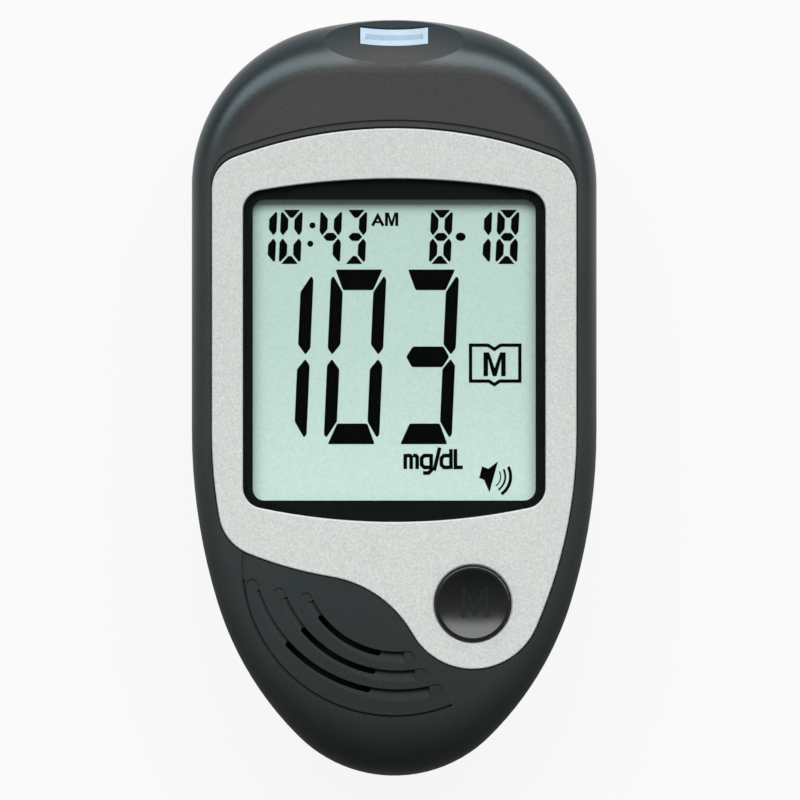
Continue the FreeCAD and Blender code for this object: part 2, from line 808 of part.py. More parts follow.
def soften(body, level, amount, kind="PartDesign::Fillet", choose=None):
    """Rounds or bevels the edges of the body at one height, all of them or those that are chosen."""
    base = body.Tip
    edges = [index for index in edges_at(base.Shape, level)
             if choose is None or choose(base.Shape.Edges[index - 1])]
    feature = body.newObject(kind, "Soft")
    feature.Base = (base, ["Edge%d" % index for index in edges])
    feature.setExpression("Radius" if kind == "PartDesign::Fillet" else "Size", amount.text)
    doc.recompute()


def rounded_form(body, level, joints, radii):
    """The block with its rim at one height rounded, the radius changing from joint to joint."""
    def radius_at(vertex):
        gaps = [math.hypot(vertex.X - x, vertex.Y - y) for x, y in joints]
        return radii[gaps.index(min(gaps))].value

    form = doc.addObject("Part::Fillet", body.Label + "_rounded")
    form.Base = body
    edges = []
    for index in edges_at(body.Shape, level):
        ends = body.Shape.Edges[index - 1].Vertexes
        edges.append((index, radius_at(ends[0]), radius_at(ends[-1])))
    form.Edges = edges
    doc.recompute()
    return form


def group(label, bodies):
    compound = doc.addObject("Part::Compound", label)
    compound.Links = bodies
    doc.recompute()
    return compound


# Shells

def shell_block(label, inset, bottom, top):
    body = new_body(label)
    drawing = Drawing(body, level=bottom)
    joints = outline(drawing, inset)
    pad(drawing, top - bottom)
    return body, joints


def bevel_seam(block):
    """Bevels the outer edge where the two shells meet."""
    soften(block, PARTING, size("seam"), "PartDesign::Chamfer")


def hollow(label, outer, core):
    shell = doc.addObject("Part::Cut", label + "_shell")
    shell.Base = outer
    shell.Tool = core
    doc.recompute()
    body = new_body(label)
    body.BaseFeature = shell
    doc.recompute()
    return body


def front_edge(inset):
    names = ["tail_edge", "flank_edge", "side_edge", "side_edge", "side_edge", "shoulder_edge", "nose_edge"]
    right = [size(name) - inset for name in names]
    return right + right[-2:0:-1]


def front_housing():
    wall = size("wall")
    block, joints = shell_block("front_block", 0, PARTING, FRONT)
    bevel_seam(block)
    outer = rounded_form(block, FRONT, joints, front_edge(0))
    block, joints = shell_block("front_core", wall, PARTING, CEILING)
    core = rounded_form(block, CEILING, joints, front_edge(wall))
    body = hollow("front_housing", outer, core)

    tongue = Drawing(body, level=PARTING)
    outline(tongue, wall / 2 + size("tongue_gap"))
    outline(tongue, wall)
    pad(tongue, size("tongue_height"), along=False)

    facet_cut(body, NOSE - size("facet_back"))

    for lift, depth in ((size("brow_ledge"), size("brow_depth")), (size("brow_gap"), size("bezel_recess"))):
        recess = Drawing(body, level=FRONT)
        bezel_outline(recess, size("bezel_gap"), lift)
        cut(recess, depth)
    speaker_grille(body)

    margin = size("opening_margin")
    holes = Drawing(body, level=FRONT)
    holes.rounded_box(-DISPLAY_X - margin, DISPLAY_BOTTOM - margin, DISPLAY_X + margin, DISPLAY_TOP + margin,
                      size("display_corner") + margin)
    holes.circle(BUTTON_X, BUTTON_Y, size("button_radius") + size("button_gap"))
    cut(holes, wall + size("overcut"))

    posts = Drawing(body, level=CEILING + size("root"))
    for x, y in HOUSING_POSTS:
        posts.circle(x, y, size("post_radius"))
    for x, y in BOARD_POSTS:
        posts.circle(x, y, size("board_post_radius"))
    pad(posts, CEILING + size("root") - BOARD_TOP, along=False)
    pilots = Drawing(body, level=BOARD_TOP)
    for x, y in HOUSING_POSTS:
        pilots.circle(x, y, size("screw_radius") + size("screw_gap"))
    cut(pilots, CEILING - BOARD_TOP - size("screw_end_gap") + size("screw_gap"), along=True)
    pilots = Drawing(body, level=BOARD_TOP)
    for x, y in BOARD_POSTS:
        pilots.circle(x, y, size("board_screw_radius") + size("screw_gap"))
    cut(pilots, size("board_screw_length") - size("board_thickness") + size("screw_gap"), along=True)

    ring = Drawing(body, level=CEILING + size("root"))
    ring_inside = SPEAKER_RADIUS + size("speaker_gap")
    ring.circle(SPEAKER_X, SPEAKER_Y, ring_inside + size("ring_wall"))
    ring.circle(SPEAKER_X, SPEAKER_Y, ring_inside)
    pad(ring, size("ring_depth") + size("root"), along=False)
    gate = Drawing(body, level=CEILING - size("ring_depth"))
    half_gate = size("lead_spacing") / 2 + 3 * size("lead_radius")
    gate.box(SPEAKER_X - half_gate, SPEAKER_Y + SPEAKER_RADIUS - size("ring_wall"),
             SPEAKER_X + half_gate, SPEAKER_Y + ring_inside + 2 * size("ring_wall"))
    cut(gate, size("ring_depth") / 2, along=True)

    port = Drawing(body, "XZ_Plane", -(NOSE + size("overcut")))
    half = size("guide_width") / 2 + size("port_gap")
    rise = size("guide_height") / 2 + size("port_gap")
    port.box(-half, STRIP_Z - rise, half, STRIP_Z + rise)
    cut(port, NOSE + size("overcut") - GUIDE_BACK, along=True)
    return body


def speaker_grille(body):
    """The sunk panel with a line round it, and in it rows that ramp down to a slot along their inner wall."""
    wall = size("wall")
    edge = size("panel_share") * HALF_WIDTH
    panel = panel_drawing(body)
    panel.circle(0, PANEL_Y, edge)
    cut(panel, wall, along=True)
    rim = panel_drawing(body)
    line = size("rim_width")
    rim.arc_slot(0, PANEL_Y, edge - line / 2, line, size("rim_left"), size("rim_right"))
    cut(rim, size("rim_depth"))

    x = size("groove_aside")
    grooves = panel_drawing(body)
    slots = Drawing(body, level=FRONT)
    ramps = []
    for row in range(round(size("groove_rows").value)):
        y = GROOVE_Y + size("groove_rise_step") * row
        radius = GROOVE_RADIUS + size("groove_pitch") * row
        left = size("groove_left") + size("groove_left_step") * row
        right = size("groove_right") + size("groove_right_step") * row
        slots.arc_slot(x, y, radius, size("slot_width"),
                       size("slot_left") + size("slot_left_step") * row, size("slot_right"))
        inner = radius - size("slot_width") / 2 - size("groove_step")
        outer = inner + size("groove_width") - 2 * size("groove_step")
        ramps.append((y, inner, outer, left - size("ramp_end"), right + size("ramp_end")))
        grooves.arc_slot(x, y, (inner + outer + size("groove_step")) / 2, size("groove_width"), left, right)
    cut(grooves, size("groove_depth"))
    for y, inner, outer, left, right in ramps:
        ramp = Drawing(body, "XZ_Plane", -y)
        ramp.lean((0, -1, 0), 90 + (left + right) / 2)
        ramp.sketch.setExpression("AttachmentOffset.Base.x", x.text)
        ramp.polygon((inner, FRONT - size("ramp_low")), (outer, FRONT - size("ramp_high")),
                     (outer, FRONT), (inner, FRONT))
        revolve(ramp, "PartDesign::Groove", left - right)
    cut(slots, wall + size("overcut"))


def panel_drawing(body):
    """A drawing on the floor of the speaker panel, which sinks to the left and fades out on the right."""
    drawing = Drawing(body, level=FRONT - size("panel_fade") * tangent(size("panel_tilt")))
    drawing.lean((0, -1, 0), size("panel_tilt"))
    return drawing


def facet_cut(body, start):
    """Cuts the sloping hollow at the nose, whose middle meets the level of the front face at the start."""
    drawing = Drawing(body, "XZ_Plane", -start)
    drawing.lean((-1, 0, 0), size("facet_tilt"))
    drawing.sketch.setExpression("AttachmentOffset.Base.y", FRONT.text)
    drawing.circle(0, size("facet_hollow"), size("facet_hollow"))
    cut(drawing, 4 * size("nose_edge"), both=True)


def rear_housing():
    wall = size("wall")
    block, joints = shell_block("rear_block", 0, as_size(0), PARTING)
    bevel_seam(block)
    outer = rounded_form(block, as_size(0), joints, [size("rear_edge")] * len(joints))
    block, joints = shell_block("rear_core", wall, wall, PARTING)
    core = rounded_form(block, wall, joints, [size("rear_edge") - wall] * len(joints))
    body = hollow("rear_housing", outer, core)
    rebate = Drawing(body, level=PARTING)
    outline(rebate, wall / 2)
    cut(rebate, size("tongue_height") + size("tongue_gap"))

    floor = wall - size("root")
    tub = Drawing(body, level=floor)
    tub_wall = size("bay_wall")
    tub.box(-BAY_X - tub_wall, BAY_LOW - tub_wall, BAY_X + tub_wall, BAY_HIGH + tub_wall)
    pad(tub, ROOF_TOP - floor)
    annex = Drawing(body, level=floor)
    annex_x = size("set_half_width") + tub_wall
    annex.box(-annex_x, BAY_HIGH, annex_x, SET_END + tub_wall)
    pad(annex, SHELF_TOP - floor)
    head_hole = size("screw_head_radius") + size("screw_hole_gap")
    for radius, top in ((head_hole + size("boss_wall"), size("screw_seat") + size("boss_wall")),
                        (size("boss_radius"), BOARD_BOTTOM)):
        bosses = Drawing(body, level=floor)
        for x, y in HOUSING_POSTS:
            bosses.circle(x, y, radius)
        pad(bosses, top - floor)

    heads = Drawing(body)
    for x, y in HOUSING_POSTS:
        heads.circle(x, y, head_hole)
    cut(heads, size("screw_seat"), along=True)
    shanks = Drawing(body)
    for x, y in HOUSING_POSTS:
        shanks.circle(x, y, size("screw_radius") + size("screw_hole_gap"))
    cut(shanks, BOARD_BOTTOM + size("overcut"), along=True)

    recess = Drawing(body)
    recess_x = DOOR_X + size("door_gap")
    recess.box(-recess_x, RECESS_LOW, recess_x, RECESS_HIGH)
    cut(recess, size("door_recess"), along=True)
    bay = Drawing(body)
    bay.box(-BAY_X, BAY_LOW, BAY_X, BAY_HIGH)
    cut(bay, BAY_TOP, along=True)
    key_room = Drawing(body)
    key_room.box(-size("set_half_width"), BAY_HIGH + tub_wall, size("set_half_width"), SET_END)
    cut(key_room, SHELF_BOTTOM, along=True)
    key_hole = Drawing(body)
    key_hole.circle(0, SET_Y, size("set_radius") + size("set_gap"))
    cut(key_hole, SHELF_TOP + size("overcut"), along=True)
    tails = Drawing(body)
    half_tail = size("tail_width") / 2 + size("tail_gap")
    for x in (-CELL_X, CELL_X):
        tails.box(x - half_tail, PLATE_HIGH - size("tail_gap"), x + half_tail, BAY_HIGH)
    cut(tails, BOARD_BOTTOM, along=True)

    scallop = Drawing(body)
    scallop.circle(0, RECESS_HIGH - size("scallop_shift"), size("scallop_radius"))
    cut(scallop, size("door_recess"), along=True)
    pins = Drawing(body, "YZ_Plane")
    pins.circle(HINGE_Y, HINGE_Z, size("pin_radius") + size("pin_gap"))
    cut(pins, 2 * (DOOR_X + size("pin_length") + size("pin_end_gap")), both=True)
    return body


# Front trim and display

def bezel_plate():
    body = new_body("bezel_plate")
    plate = Drawing(body, level=RECESS_FLOOR)
    bezel_outline(plate)
    window_outline(plate, size("window_gap"))
    plate.circle(BUTTON_X, BUTTON_Y, size("button_radius") + size("button_gap"))
    pad(plate, size("bezel_thickness"))
    top = RECESS_FLOOR + size("bezel_thickness")
    hole = size("button_radius") + size("button_gap")
    soften(body, top, size("button_ring"), "PartDesign::Chamfer", lambda edge: is_ring(edge, hole))
    bevelled = hole + size("button_ring")
    soften(body, top, size("bezel_edge"), choose=lambda edge: not is_ring(edge, bevelled))
    return body


def display_window():
    body = new_body("display_window")
    bottom = RECESS_FLOOR + size("gasket_thickness")
    pane = Drawing(body, level=bottom)
    window_outline(pane)
    pad(pane, size("window_thickness"))
    soften(body, bottom + size("window_thickness"), size("window_edge"), "PartDesign::Chamfer")
    return body


def window_gasket():
    body = new_body("window_gasket")
    frame = Drawing(body, level=RECESS_FLOOR)
    window_outline(frame)
    frame.rounded_box(-DISPLAY_X, DISPLAY_BOTTOM, DISPLAY_X, DISPLAY_TOP, size("display_corner"))
    pad(frame, size("gasket_thickness"))
    return body


def lcd_panel():
    body = new_body("lcd_panel")
    back = Drawing(body, level=GLASS_BACK)
    back.box(-GLASS_X, GLASS_BOTTOM, GLASS_X, GLASS_TOP)
    pad(back, size("glass_thickness"))
    front = Drawing(body, level=GLASS_MIDDLE)
    front.box(-GLASS_X, LEDGE_BOTTOM, GLASS_X, GLASS_TOP)
    pad(front, size("glass_thickness"))
    return body


def lcd_holder():
    body = new_body("lcd_holder")
    gap = size("holder_gap")
    rim = gap + size("holder_wall")
    frame = Drawing(body, level=BOARD_TOP)
    frame.box(-GLASS_X - rim, LEDGE_BOTTOM - rim, GLASS_X + rim, GLASS_TOP + rim)
    pad(frame, CEILING - size("holder_drop") - BOARD_TOP)
    seat = Drawing(body, level=GLASS_BACK)
    seat.box(-GLASS_X - gap, LEDGE_BOTTOM - gap, GLASS_X + gap, GLASS_TOP + gap)
    cut(seat, CEILING - GLASS_BACK, along=True)
    well = Drawing(body, level=BOARD_TOP)
    well.box(-DISPLAY_X, DISPLAY_BOTTOM, DISPLAY_X, DISPLAY_TOP)
    half = size("zebra_thickness") / 2 + gap
    middle = (GLASS_BOTTOM + LEDGE_BOTTOM) / 2
    well.box(-DISPLAY_X, middle - half, DISPLAY_X, middle + half)
    cut(well, size("chip_space") + size("overcut"), along=True)
    return body


def zebra_strip():
    body = new_body("zebra_strip", y=(GLASS_BOTTOM + LEDGE_BOTTOM) / 2)
    strip = Drawing(body, level=BOARD_TOP)
    half = size("zebra_thickness") / 2
    reach = DISPLAY_X - size("holder_gap")
    strip.box(-reach, -half, reach, half)
    pad(strip, GLASS_MIDDLE - BOARD_TOP)
    return body


# Circuit board

def main_board():
    body = new_body("main_board")
    sheet_of_board = Drawing(body, level=BOARD_BOTTOM)
    outline(sheet_of_board, size("board_inset"))
    pad(sheet_of_board, size("board_thickness"))
    tail = Drawing(body, level=BOARD_TOP)
    low = TAIL - size("overcut")
    tab_low = TAIL + size("tab_tail")
    step = TAIL + size("board_tail")
    wide = HALF_WIDTH + size("overcut")
    tail.polygon((-wide, low), (wide, low), (wide, tab_low), (size("tab_left"), tab_low),
                 (size("tab_left"), step), (-wide, step))
    cut(tail, size("board_thickness"))
    holes = Drawing(body, level=BOARD_TOP)
    for x, y in HOUSING_POSTS:
        holes.circle(x, y, size("screw_radius") + size("screw_hole_gap"))
    for x, y in BOARD_POSTS:
        holes.circle(x, y, size("board_screw_radius") + size("screw_hole_gap"))
    cut(holes, size("board_thickness"))
    return body


def chip(label, x, y, width, legs):
    """A square moulded chip with a row of flat legs on either side."""
    body = new_body(label, x, y, BOARD_TOP)
    case = Drawing(body)
    case.box(-width / 2, -width / 2, width / 2, width / 2)
    pad(case, size("chip_height"))
    feet = Drawing(body)
    pitch = width / (legs + 1)
    half_leg = pitch / LEGS_PER_PITCH / 2
    for leg in range(legs):
        middle = pitch * (leg - (legs - 1) / 2)
        reach = width / 2 + size("leg_length")
        feet.box(-reach, middle - half_leg, reach, middle + half_leg)
    pad(feet, size("leg_thickness"))
    return body


def board_parts():
    """The controller with the memory on its left, and below them the crystal and the voice chip."""
    well = DISPLAY_TOP - DISPLAY_BOTTOM
    controller, voice, memory = (size(name + "_share") * well for name in ("controller", "voice", "memory"))
    gap = size("chip_gap")
    upper_y = DISPLAY_TOP - size("chip_edge_gap") - controller / 2
    lower_y = upper_y - controller / 2 - gap - voice / 2
    memory_x = -(controller + memory) / 2 - 2 * size("leg_length") - gap
    half_length = size("crystal_length_share") * well / 2
    half_width = size("crystal_width_share") * well / 2
    crystal = new_body("crystal", -half_length - gap, lower_y, BOARD_TOP)
    can = Drawing(crystal)
    can.rounded_box(-half_length, -half_width, half_length, half_width, half_width * CRYSTAL_ROUNDING)
    pad(can, size("chip_height"))
    return [
        chip("controller_chip", 0, upper_y, controller, CONTROLLER_LEGS),
        chip("voice_chip", voice / 2 + size("leg_length") + gap, lower_y, voice, VOICE_LEGS),
        chip("memory_chip", memory_x, upper_y, memory, MEMORY_LEGS),
        crystal,
    ]


# Strip port

def strip_guide():
    body = new_body("strip_guide")
    half = size("guide_width") / 2
    rise = size("guide_height") / 2
    block = Drawing(body, "XZ_Plane", -GUIDE_BACK)
    block.box(-half, STRIP_Z - rise, half, STRIP_Z + rise)
    pad(block, size("guide_back"), along=False)
    flange = Drawing(body, "XZ_Plane", -(GUIDE_BACK + size("guide_flange")))
    lip = size("guide_flange")
    drop = size("guide_flange_drop")
    flange.box(-half - lip, STRIP_Z - rise - drop, half + lip, STRIP_Z + rise - drop)
    pad(flange, size("guide_flange"), along=False)
    slot = Drawing(body, "XZ_Plane", -(GUIDE_BACK - size("overcut")))
    half_slot = size("strip_slot") / 2
    half_strip = size("strip_width") / 2
    slot.box(-half_strip, STRIP_Z - half_slot, half_strip, STRIP_Z + half_slot)
    cut(slot, size("guide_back") + 2 * size("overcut"))
    facet_cut(body, NOSE - size("facet_back") - size("guide_sink"))
    return body


def strip_connector():
    body = new_body("strip_connector")
    half = size("connector_width") / 2
    top = STRIP_Z + size("connector_roof")
    block = Drawing(body, level=BOARD_TOP)
    block.box(-half, CONNECTOR_BACK, half, CONNECTOR_FRONT)
    pad(block, top - BOARD_TOP)
    slot = Drawing(body, "XZ_Plane", -CONNECTOR_FRONT)
    half_slot = size("strip_slot") / 2
    half_strip = size("strip_width") / 2
    slot.box(-half_strip, STRIP_Z - half_slot, half_strip, STRIP_Z + half_slot)
    cut(slot, size("connector_length") - size("connector_back_wall"), along=True)
    channels = Drawing(body, "XZ_Plane", -CONNECTOR_FRONT)
    half_channel = size("blade_width") / 2 + size("blade_gap")
    depth = size("blade_thickness") + 2 * size("blade_gap")
    for blade in CONTACT_BLADES:
        x = size("blade_pitch") * blade
        channels.box(x - half_channel, STRIP_Z - half_slot - depth, x + half_channel, STRIP_Z - half_slot)
    cut(channels, size("connector_length"), along=True)
    return body


def strip_contacts():
    """Three sprung blades: a foot on the board, a riser behind the connector and a bump in the slot."""
    slot_floor = STRIP_Z - size("strip_slot") / 2
    under = slot_floor - size("blade_thickness") - size("blade_gap")
    over = slot_floor - size("blade_gap")
    back = CONNECTOR_BACK - size("blade_gap")
    riser = back - size("blade_thickness")
    foot = riser - size("blade_foot")
    foot_top = BOARD_TOP + size("blade_thickness")
    bump = size("blade_bump")
    tip = CONNECTOR_FRONT - size("connector_back_wall")
    blades = []
    for number in CONTACT_BLADES:
        body = new_body("contact_blade", size("blade_pitch") * number)
        profile = Drawing(body, "YZ_Plane")
        profile.polygon((foot, BOARD_TOP), (back, BOARD_TOP), (back, under), (tip, under), (tip, over),
                        (tip - 2 * bump, over + bump), (tip - 4 * bump, over), (riser, over),
                        (riser, foot_top), (foot, foot_top))
        pad(profile, size("blade_width"), both=True)
        blades.append(body)
    return group("strip_contacts", blades)


# Speaker

def speaker_parts():
    radius = SPEAKER_RADIUS
    top = CEILING - size("gasket_drop") - size("gasket_height")
    bottom = top - size("speaker_height")
    wall = size("speaker_wall")
    magnet = size("magnet_radius")

    frame = new_body("speaker_frame", SPEAKER_X, SPEAKER_Y)
    cup = Drawing(frame, "XZ_Plane")
    cup.polygon((magnet, bottom), (radius, bottom), (radius, top), (radius - wall, top),
                (radius - wall, bottom + wall), (magnet, bottom + wall))
    revolve(cup)

    cone = new_body("speaker_cone", SPEAKER_X, SPEAKER_Y)
    paper = Drawing(cone, "XZ_Plane")
    skin = size("cone_thickness")
    rim = top - skin
    edge = radius - wall
    dip = rim - size("cone_depth")
    paper.polygon((0, dip), (magnet / 2, dip), (edge - wall, rim - skin), (edge, rim - skin), (edge, rim),
                  (edge - wall, rim), (magnet / 2, dip + skin), (0, dip + skin))
    revolve(paper)

    block = new_body("speaker_magnet", SPEAKER_X, SPEAKER_Y)
    slug = Drawing(block, level=bottom - size("magnet_drop"))
    slug.circle(0, 0, magnet)
    pad(slug, dip - bottom + size("magnet_drop"))

    gasket = new_body("speaker_gasket", SPEAKER_X, SPEAKER_Y)
    ring = Drawing(gasket, level=top)
    ring.circle(0, 0, radius - size("gasket_inset"))
    ring.circle(0, 0, radius - size("gasket_width"))
    pad(ring, size("gasket_height"))
    return [frame, cone, block, gasket]


def speaker_leads():
    """Two insulated wires from the side of the speaker over the edge of the board."""
    level = BOARD_TOP + size("lead_bend") + size("lead_drop")
    offset = size("lead_spacing") / 2
    reach = SPEAKER_RADIUS + size("lead_gap")
    start = SPEAKER_Y + root(reach * reach - offset * offset)
    end = TAIL + size("board_tail") + size("lead_reach")
    wires = []
    for side in (-1, 1):
        body = new_body("speaker_wire", SPEAKER_X + offset * side)
        path = Drawing(body, "YZ_Plane")
        bend = size("lead_bend")
        joints = [(start.value, level.value), (end.value - bend.value, level.value),
                  (end.value, level.value - bend.value), (end.value, BOARD_TOP.value)]
        turn = Bend(end.value - bend.value, level.value - bend.value, -1)
        for piece in (stretch(joints[0], joints[1], None), stretch(joints[1], joints[2], turn),
                      stretch(joints[2], joints[3], None)):
            path.sketch.addGeometry(piece)
        path.relate("Tangent", 0, END, 1, END)
        path.relate("Tangent", 1, START, 2, START)
        path.relate("Horizontal", 0)
        path.relate("Vertical", 2)
        path.bind("Radius", 1, to=bend)
        path.pin(0, START, start, level)
        path.pin(2, END, end, BOARD_TOP)
        section = Drawing(body, "XZ_Plane", -start)
        section.circle(0, level, size("lead_radius"))
        pipe = body.newObject("PartDesign::AdditivePipe", "Pipe")
        pipe.Profile = section.sketch
        pipe.Spine = path.sketch
        doc.recompute()
        wires.append(body)
    return group("speaker_leads", wires)


# Keys

def main_button():
    body = new_body("main_button", BUTTON_X, BUTTON_Y)
    radius = size("button_radius")
    top = FRONT + size("button_rise")
    flange_top = CEILING - size("flange_gap")
    flange_bottom = flange_top - size("flange_thickness")
    stem_bottom = BOARD_TOP + size("switch_height") + size("plunger_rise")
    profile = Drawing(body, "XZ_Plane")
    stem = size("stem_radius")
    flange = size("flange_radius")
    profile.polygon((0, stem_bottom), (stem, stem_bottom), (stem, flange_bottom), (flange, flange_bottom),
                    (flange, flange_top), (radius, flange_top), (radius, top), (0, top))
    revolve(profile)
    soften(body, top, size("button_round"))
    rim = radius - size("dish_rim")
    depth = size("dish_depth")
    ball = (rim * rim + depth * depth) / (2 * depth)
    dish = Drawing(body, "XZ_Plane")
    dish.half_disc(top - depth + ball, ball)
    revolve(dish, "PartDesign::Groove")
    return body


def key_switch(label, x, y, base, height, width, bore, room, upwards):
    """Body of a push switch on the board, with a bore for its plunger."""
    body = new_body(label, x, y)
    case = Drawing(body, level=base)
    half = width / 2
    case.box(-half, -half, half, half)
    pad(case, height, along=upwards)
    face = base + height if upwards else base - height
    well = Drawing(body, level=face)
    well.circle(0, 0, bore)
    cut(well, room, along=not upwards)
    return body


def plunger(label, x, y, bottom, radius, length):
    body = new_body(label, x, y)
    pin = Drawing(body, level=bottom)
    pin.circle(0, 0, radius)
    pad(pin, length)
    return body


def main_key():
    face = BOARD_TOP + size("switch_height")
    return [
        key_switch("main_switch", BUTTON_X, BUTTON_Y, BOARD_TOP, size("switch_height"), size("switch_width"),
                   size("plunger_radius") + size("plunger_gap"), size("plunger_room"), True),
        plunger("main_plunger", BUTTON_X, BUTTON_Y, face - size("plunger_sink"), size("plunger_radius"),
                size("plunger_sink") + size("plunger_rise")),
    ]


def set_key():
    button = new_body("set_button", 0, SET_Y)
    profile = Drawing(button, "XZ_Plane")
    flange_bottom = SET_FLANGE_TOP - size("set_flange_thickness")
    head = SHELF_BOTTOM - size("set_head")
    radius = size("set_radius")
    flange = size("set_flange")
    profile.polygon((0, head), (radius, head), (radius, flange_bottom), (flange, flange_bottom),
                    (flange, SET_FLANGE_TOP), (0, SET_FLANGE_TOP))
    revolve(profile)
    soften(button, head, size("button_round"))
    return [
        button,
        key_switch("set_switch", as_size(0), SET_Y, BOARD_BOTTOM, size("set_switch_height"),
                   size("set_switch_width"), size("set_plunger_radius") + size("plunger_gap"),
                   size("set_plunger_room"), False),
        plunger("set_plunger", as_size(0), SET_Y, SET_FLANGE_TOP, size("set_plunger_radius"),
                size("set_plunger_rise") + size("set_plunger_sink")),
    ]


# Battery bay

def cell(label, x, nub_at, turned):
    """A round cell along Y, its nub at the given end of the bay."""
    body = new_body(label, x, nub_at, CELL_AXIS)
    if turned:
        body.Placement.Rotation = Rotation(Vector(0, 0, 1), 180)
    radius = size("cell_diameter") / 2
    shoulder = -size("nub_length")
    profile = Drawing(body)
    profile.polygon((0, -size("cell_length")), (radius, -size("cell_length")), (radius, shoulder),
                    (size("nub_radius"), shoulder), (size("nub_radius"), 0), (0, 0))
    revolve(profile)
    base = body.Tip
    ends = [index + 1 for index, edge in enumerate(base.Shape.Edges) if edge.Closed and is_ring(edge, radius)]
    soft = body.newObject("PartDesign::Fillet", "Soft")
    soft.Base = (base, ["Edge%d" % index for index in ends])
    soft.setExpression("Radius", size("cell_round").text)
    doc.recompute()
    return body


def contact_plate(label, x, half_width, face, tailed):
    """A flat contact across the end of the bay, with a tail up to the board where it has one."""
    body = new_body(label, x)
    low = CELL_AXIS - size("plate_height") / 2
    high = CELL_AXIS + size("plate_height") / 2
    plate = Drawing(body, "XZ_Plane", -face)
    plate.box(-half_width, low, half_width, high)
    pad(plate, size("plate_thickness"), along=False)
    if tailed:
        half = size("tail_width") / 2
        tail = Drawing(body, "XZ_Plane", -face)
        tail.box(-half, high - size("overcut"), half, BOARD_BOTTOM)
        pad(tail, size("plate_thickness"), along=False)
    return body


def arc_between(start, heading, end):
    """The arc that leaves the start along the heading and reaches the end."""
    chord = end - start
    along = Vector(chord).normalize()
    aside = heading - along * heading.dot(along)
    if aside.Length < 1e-9:
        return Part.LineSegment(start, end).toShape()
    bend = math.atan2(aside.Length, heading.dot(along))
    bulge = aside.normalize() * (chord.Length / 2 * math.tan(bend / 2))
    return Part.Arc(start, start + chord / 2 + bulge, end).toShape()


def biarc(start, start_way, end, end_way):
    """Two arcs from start to end that leave and arrive along the given ways and flow into each other."""
    chord = end - start
    ways = start_way + end_way
    spread = 2 * (1 - start_way.dot(end_way))
    lean = chord.dot(ways)
    reach = (math.sqrt(lean * lean + spread * chord.dot(chord)) - lean) / spread
    middle = (start + end + (start_way - end_way) * reach) / 2
    back = arc_between(end, end_way * -1, middle)
    return [arc_between(start, start_way, middle), back]


def coil_spring(label, x, seat, towards):
    """A contact spring: square ends, then an even helix, wound from biarcs of a quarter turn."""
    length, radius, wire, rise, turns, lead_angle = (
        size("spring_" + name).value for name in ("length", "radius", "wire", "rise", "turns", "lead"))
    lead = math.radians(lead_angle)
    first_level = wire + rise
    pitch = (length - 2 * first_level) / turns
    slope = pitch / (2 * math.pi)

    def on_helix(angle):
        way = Vector(-radius * math.sin(angle), radius * math.cos(angle), slope).normalize()
        level = first_level + slope * (angle - lead)
        return Vector(radius * math.cos(angle), radius * math.sin(angle), level), way

    quarters = round(turns * 4)
    stations = [on_helix(lead + turns * 2 * math.pi * step / quarters) for step in range(quarters + 1)]
    last = lead + turns * 2 * math.pi + lead
    foot = Vector(radius, 0, 0)
    head = Vector(radius * math.cos(last), radius * math.sin(last), length)
    up = Vector(0, 0, 1)
    stations = [(foot + up * wire, up)] + stations + [(head - up * wire, up)]
    edges = [Part.LineSegment(foot, foot + up * wire).toShape()]
    for (start, start_way), (end, end_way) in zip(stations, stations[1:]):
        edges += biarc(start, start_way, end, end_way)
    edges.append(Part.LineSegment(head - up * wire, head).toShape())
    spine = Part.Wire(Part.__sortEdges__(edges))
    section = Part.Wire(Part.makeCircle(wire / 2, foot, up))
    spring = doc.addObject("Part::Feature", label)
    spring.Shape = spine.makePipeShell([section], True, False)
    spring.Placement = Placement(Vector(x.value, seat.value, CELL_AXIS.value),
                                 Rotation(Vector(0, 0, 1), Vector(0, towards, 0)))
    print("%s: least gap between turns %.2f mm" % (label, turn_gap(spine, wire, radius)))
    return spring


def turn_gap(spine, wire, radius):
    """Least clear distance between two stretches of wire more than half a turn apart."""
    points = spine.discretize(WIRE_POINTS)
    step = spine.Length / (len(points) - 1)
    apart = int(math.pi * radius / step)
    gaps = [(one - other).Length for index, one in enumerate(points) for other in points[index + apart:]]
    return min(gaps) - wire


def battery_parts():
    half = size("plate_width") / 2
    return [
        cell("cell_left", -CELL_X, PLATE_HIGH, False),
        cell("cell_right", CELL_X, PLATE_LOW, True),
        contact_plate("plus_plate", -CELL_X, half, PLATE_HIGH, True),
        contact_plate("minus_plate", CELL_X, half, PLATE_HIGH, True),
        contact_plate("link_plate", as_size(0), CELL_X + half, BAY_LOW, False),
        coil_spring("minus_spring", CELL_X, PLATE_HIGH, -1),
        coil_spring("link_spring", -CELL_X, PLATE_LOW, 1),
    ]


def battery_door():
    body = new_body("battery_door")
    plate = Drawing(body, level=size("door_sink"))
    plate.box(-DOOR_X, HINGE_Y, DOOR_X, DOOR_END)
    pad(plate, size("door_thickness"))
    thumb = Drawing(body, level=size("door_sink"))
    half = size("thumb_half_width")
    thumb.box(-half, DOOR_END - size("overcut"), half, DOOR_END + size("thumb_reach"))
    pad(thumb, size("door_thickness"))
    knuckle = Drawing(body, "YZ_Plane")
    knuckle.circle(HINGE_Y, HINGE_Z, size("door_thickness") / 2)
    pad(knuckle, 2 * DOOR_X, both=True)
    pins = Drawing(body, "YZ_Plane")
    pins.circle(HINGE_Y, HINGE_Z, size("pin_radius"))
    pad(pins, 2 * (DOOR_X + size("pin_length")), both=True)
    grips = Drawing(body, level=size("door_sink"))
    half_grip = size("grip_width") / 2
    for number in GRIP_GROOVES:
        y = DOOR_END - size("grip_back") - size("grip_pitch") * number
        grips.box(-half_grip, y, half_grip, y + size("grip_groove"))
    cut(grips, size("grip_depth"), along=True)
    return body


# Screws

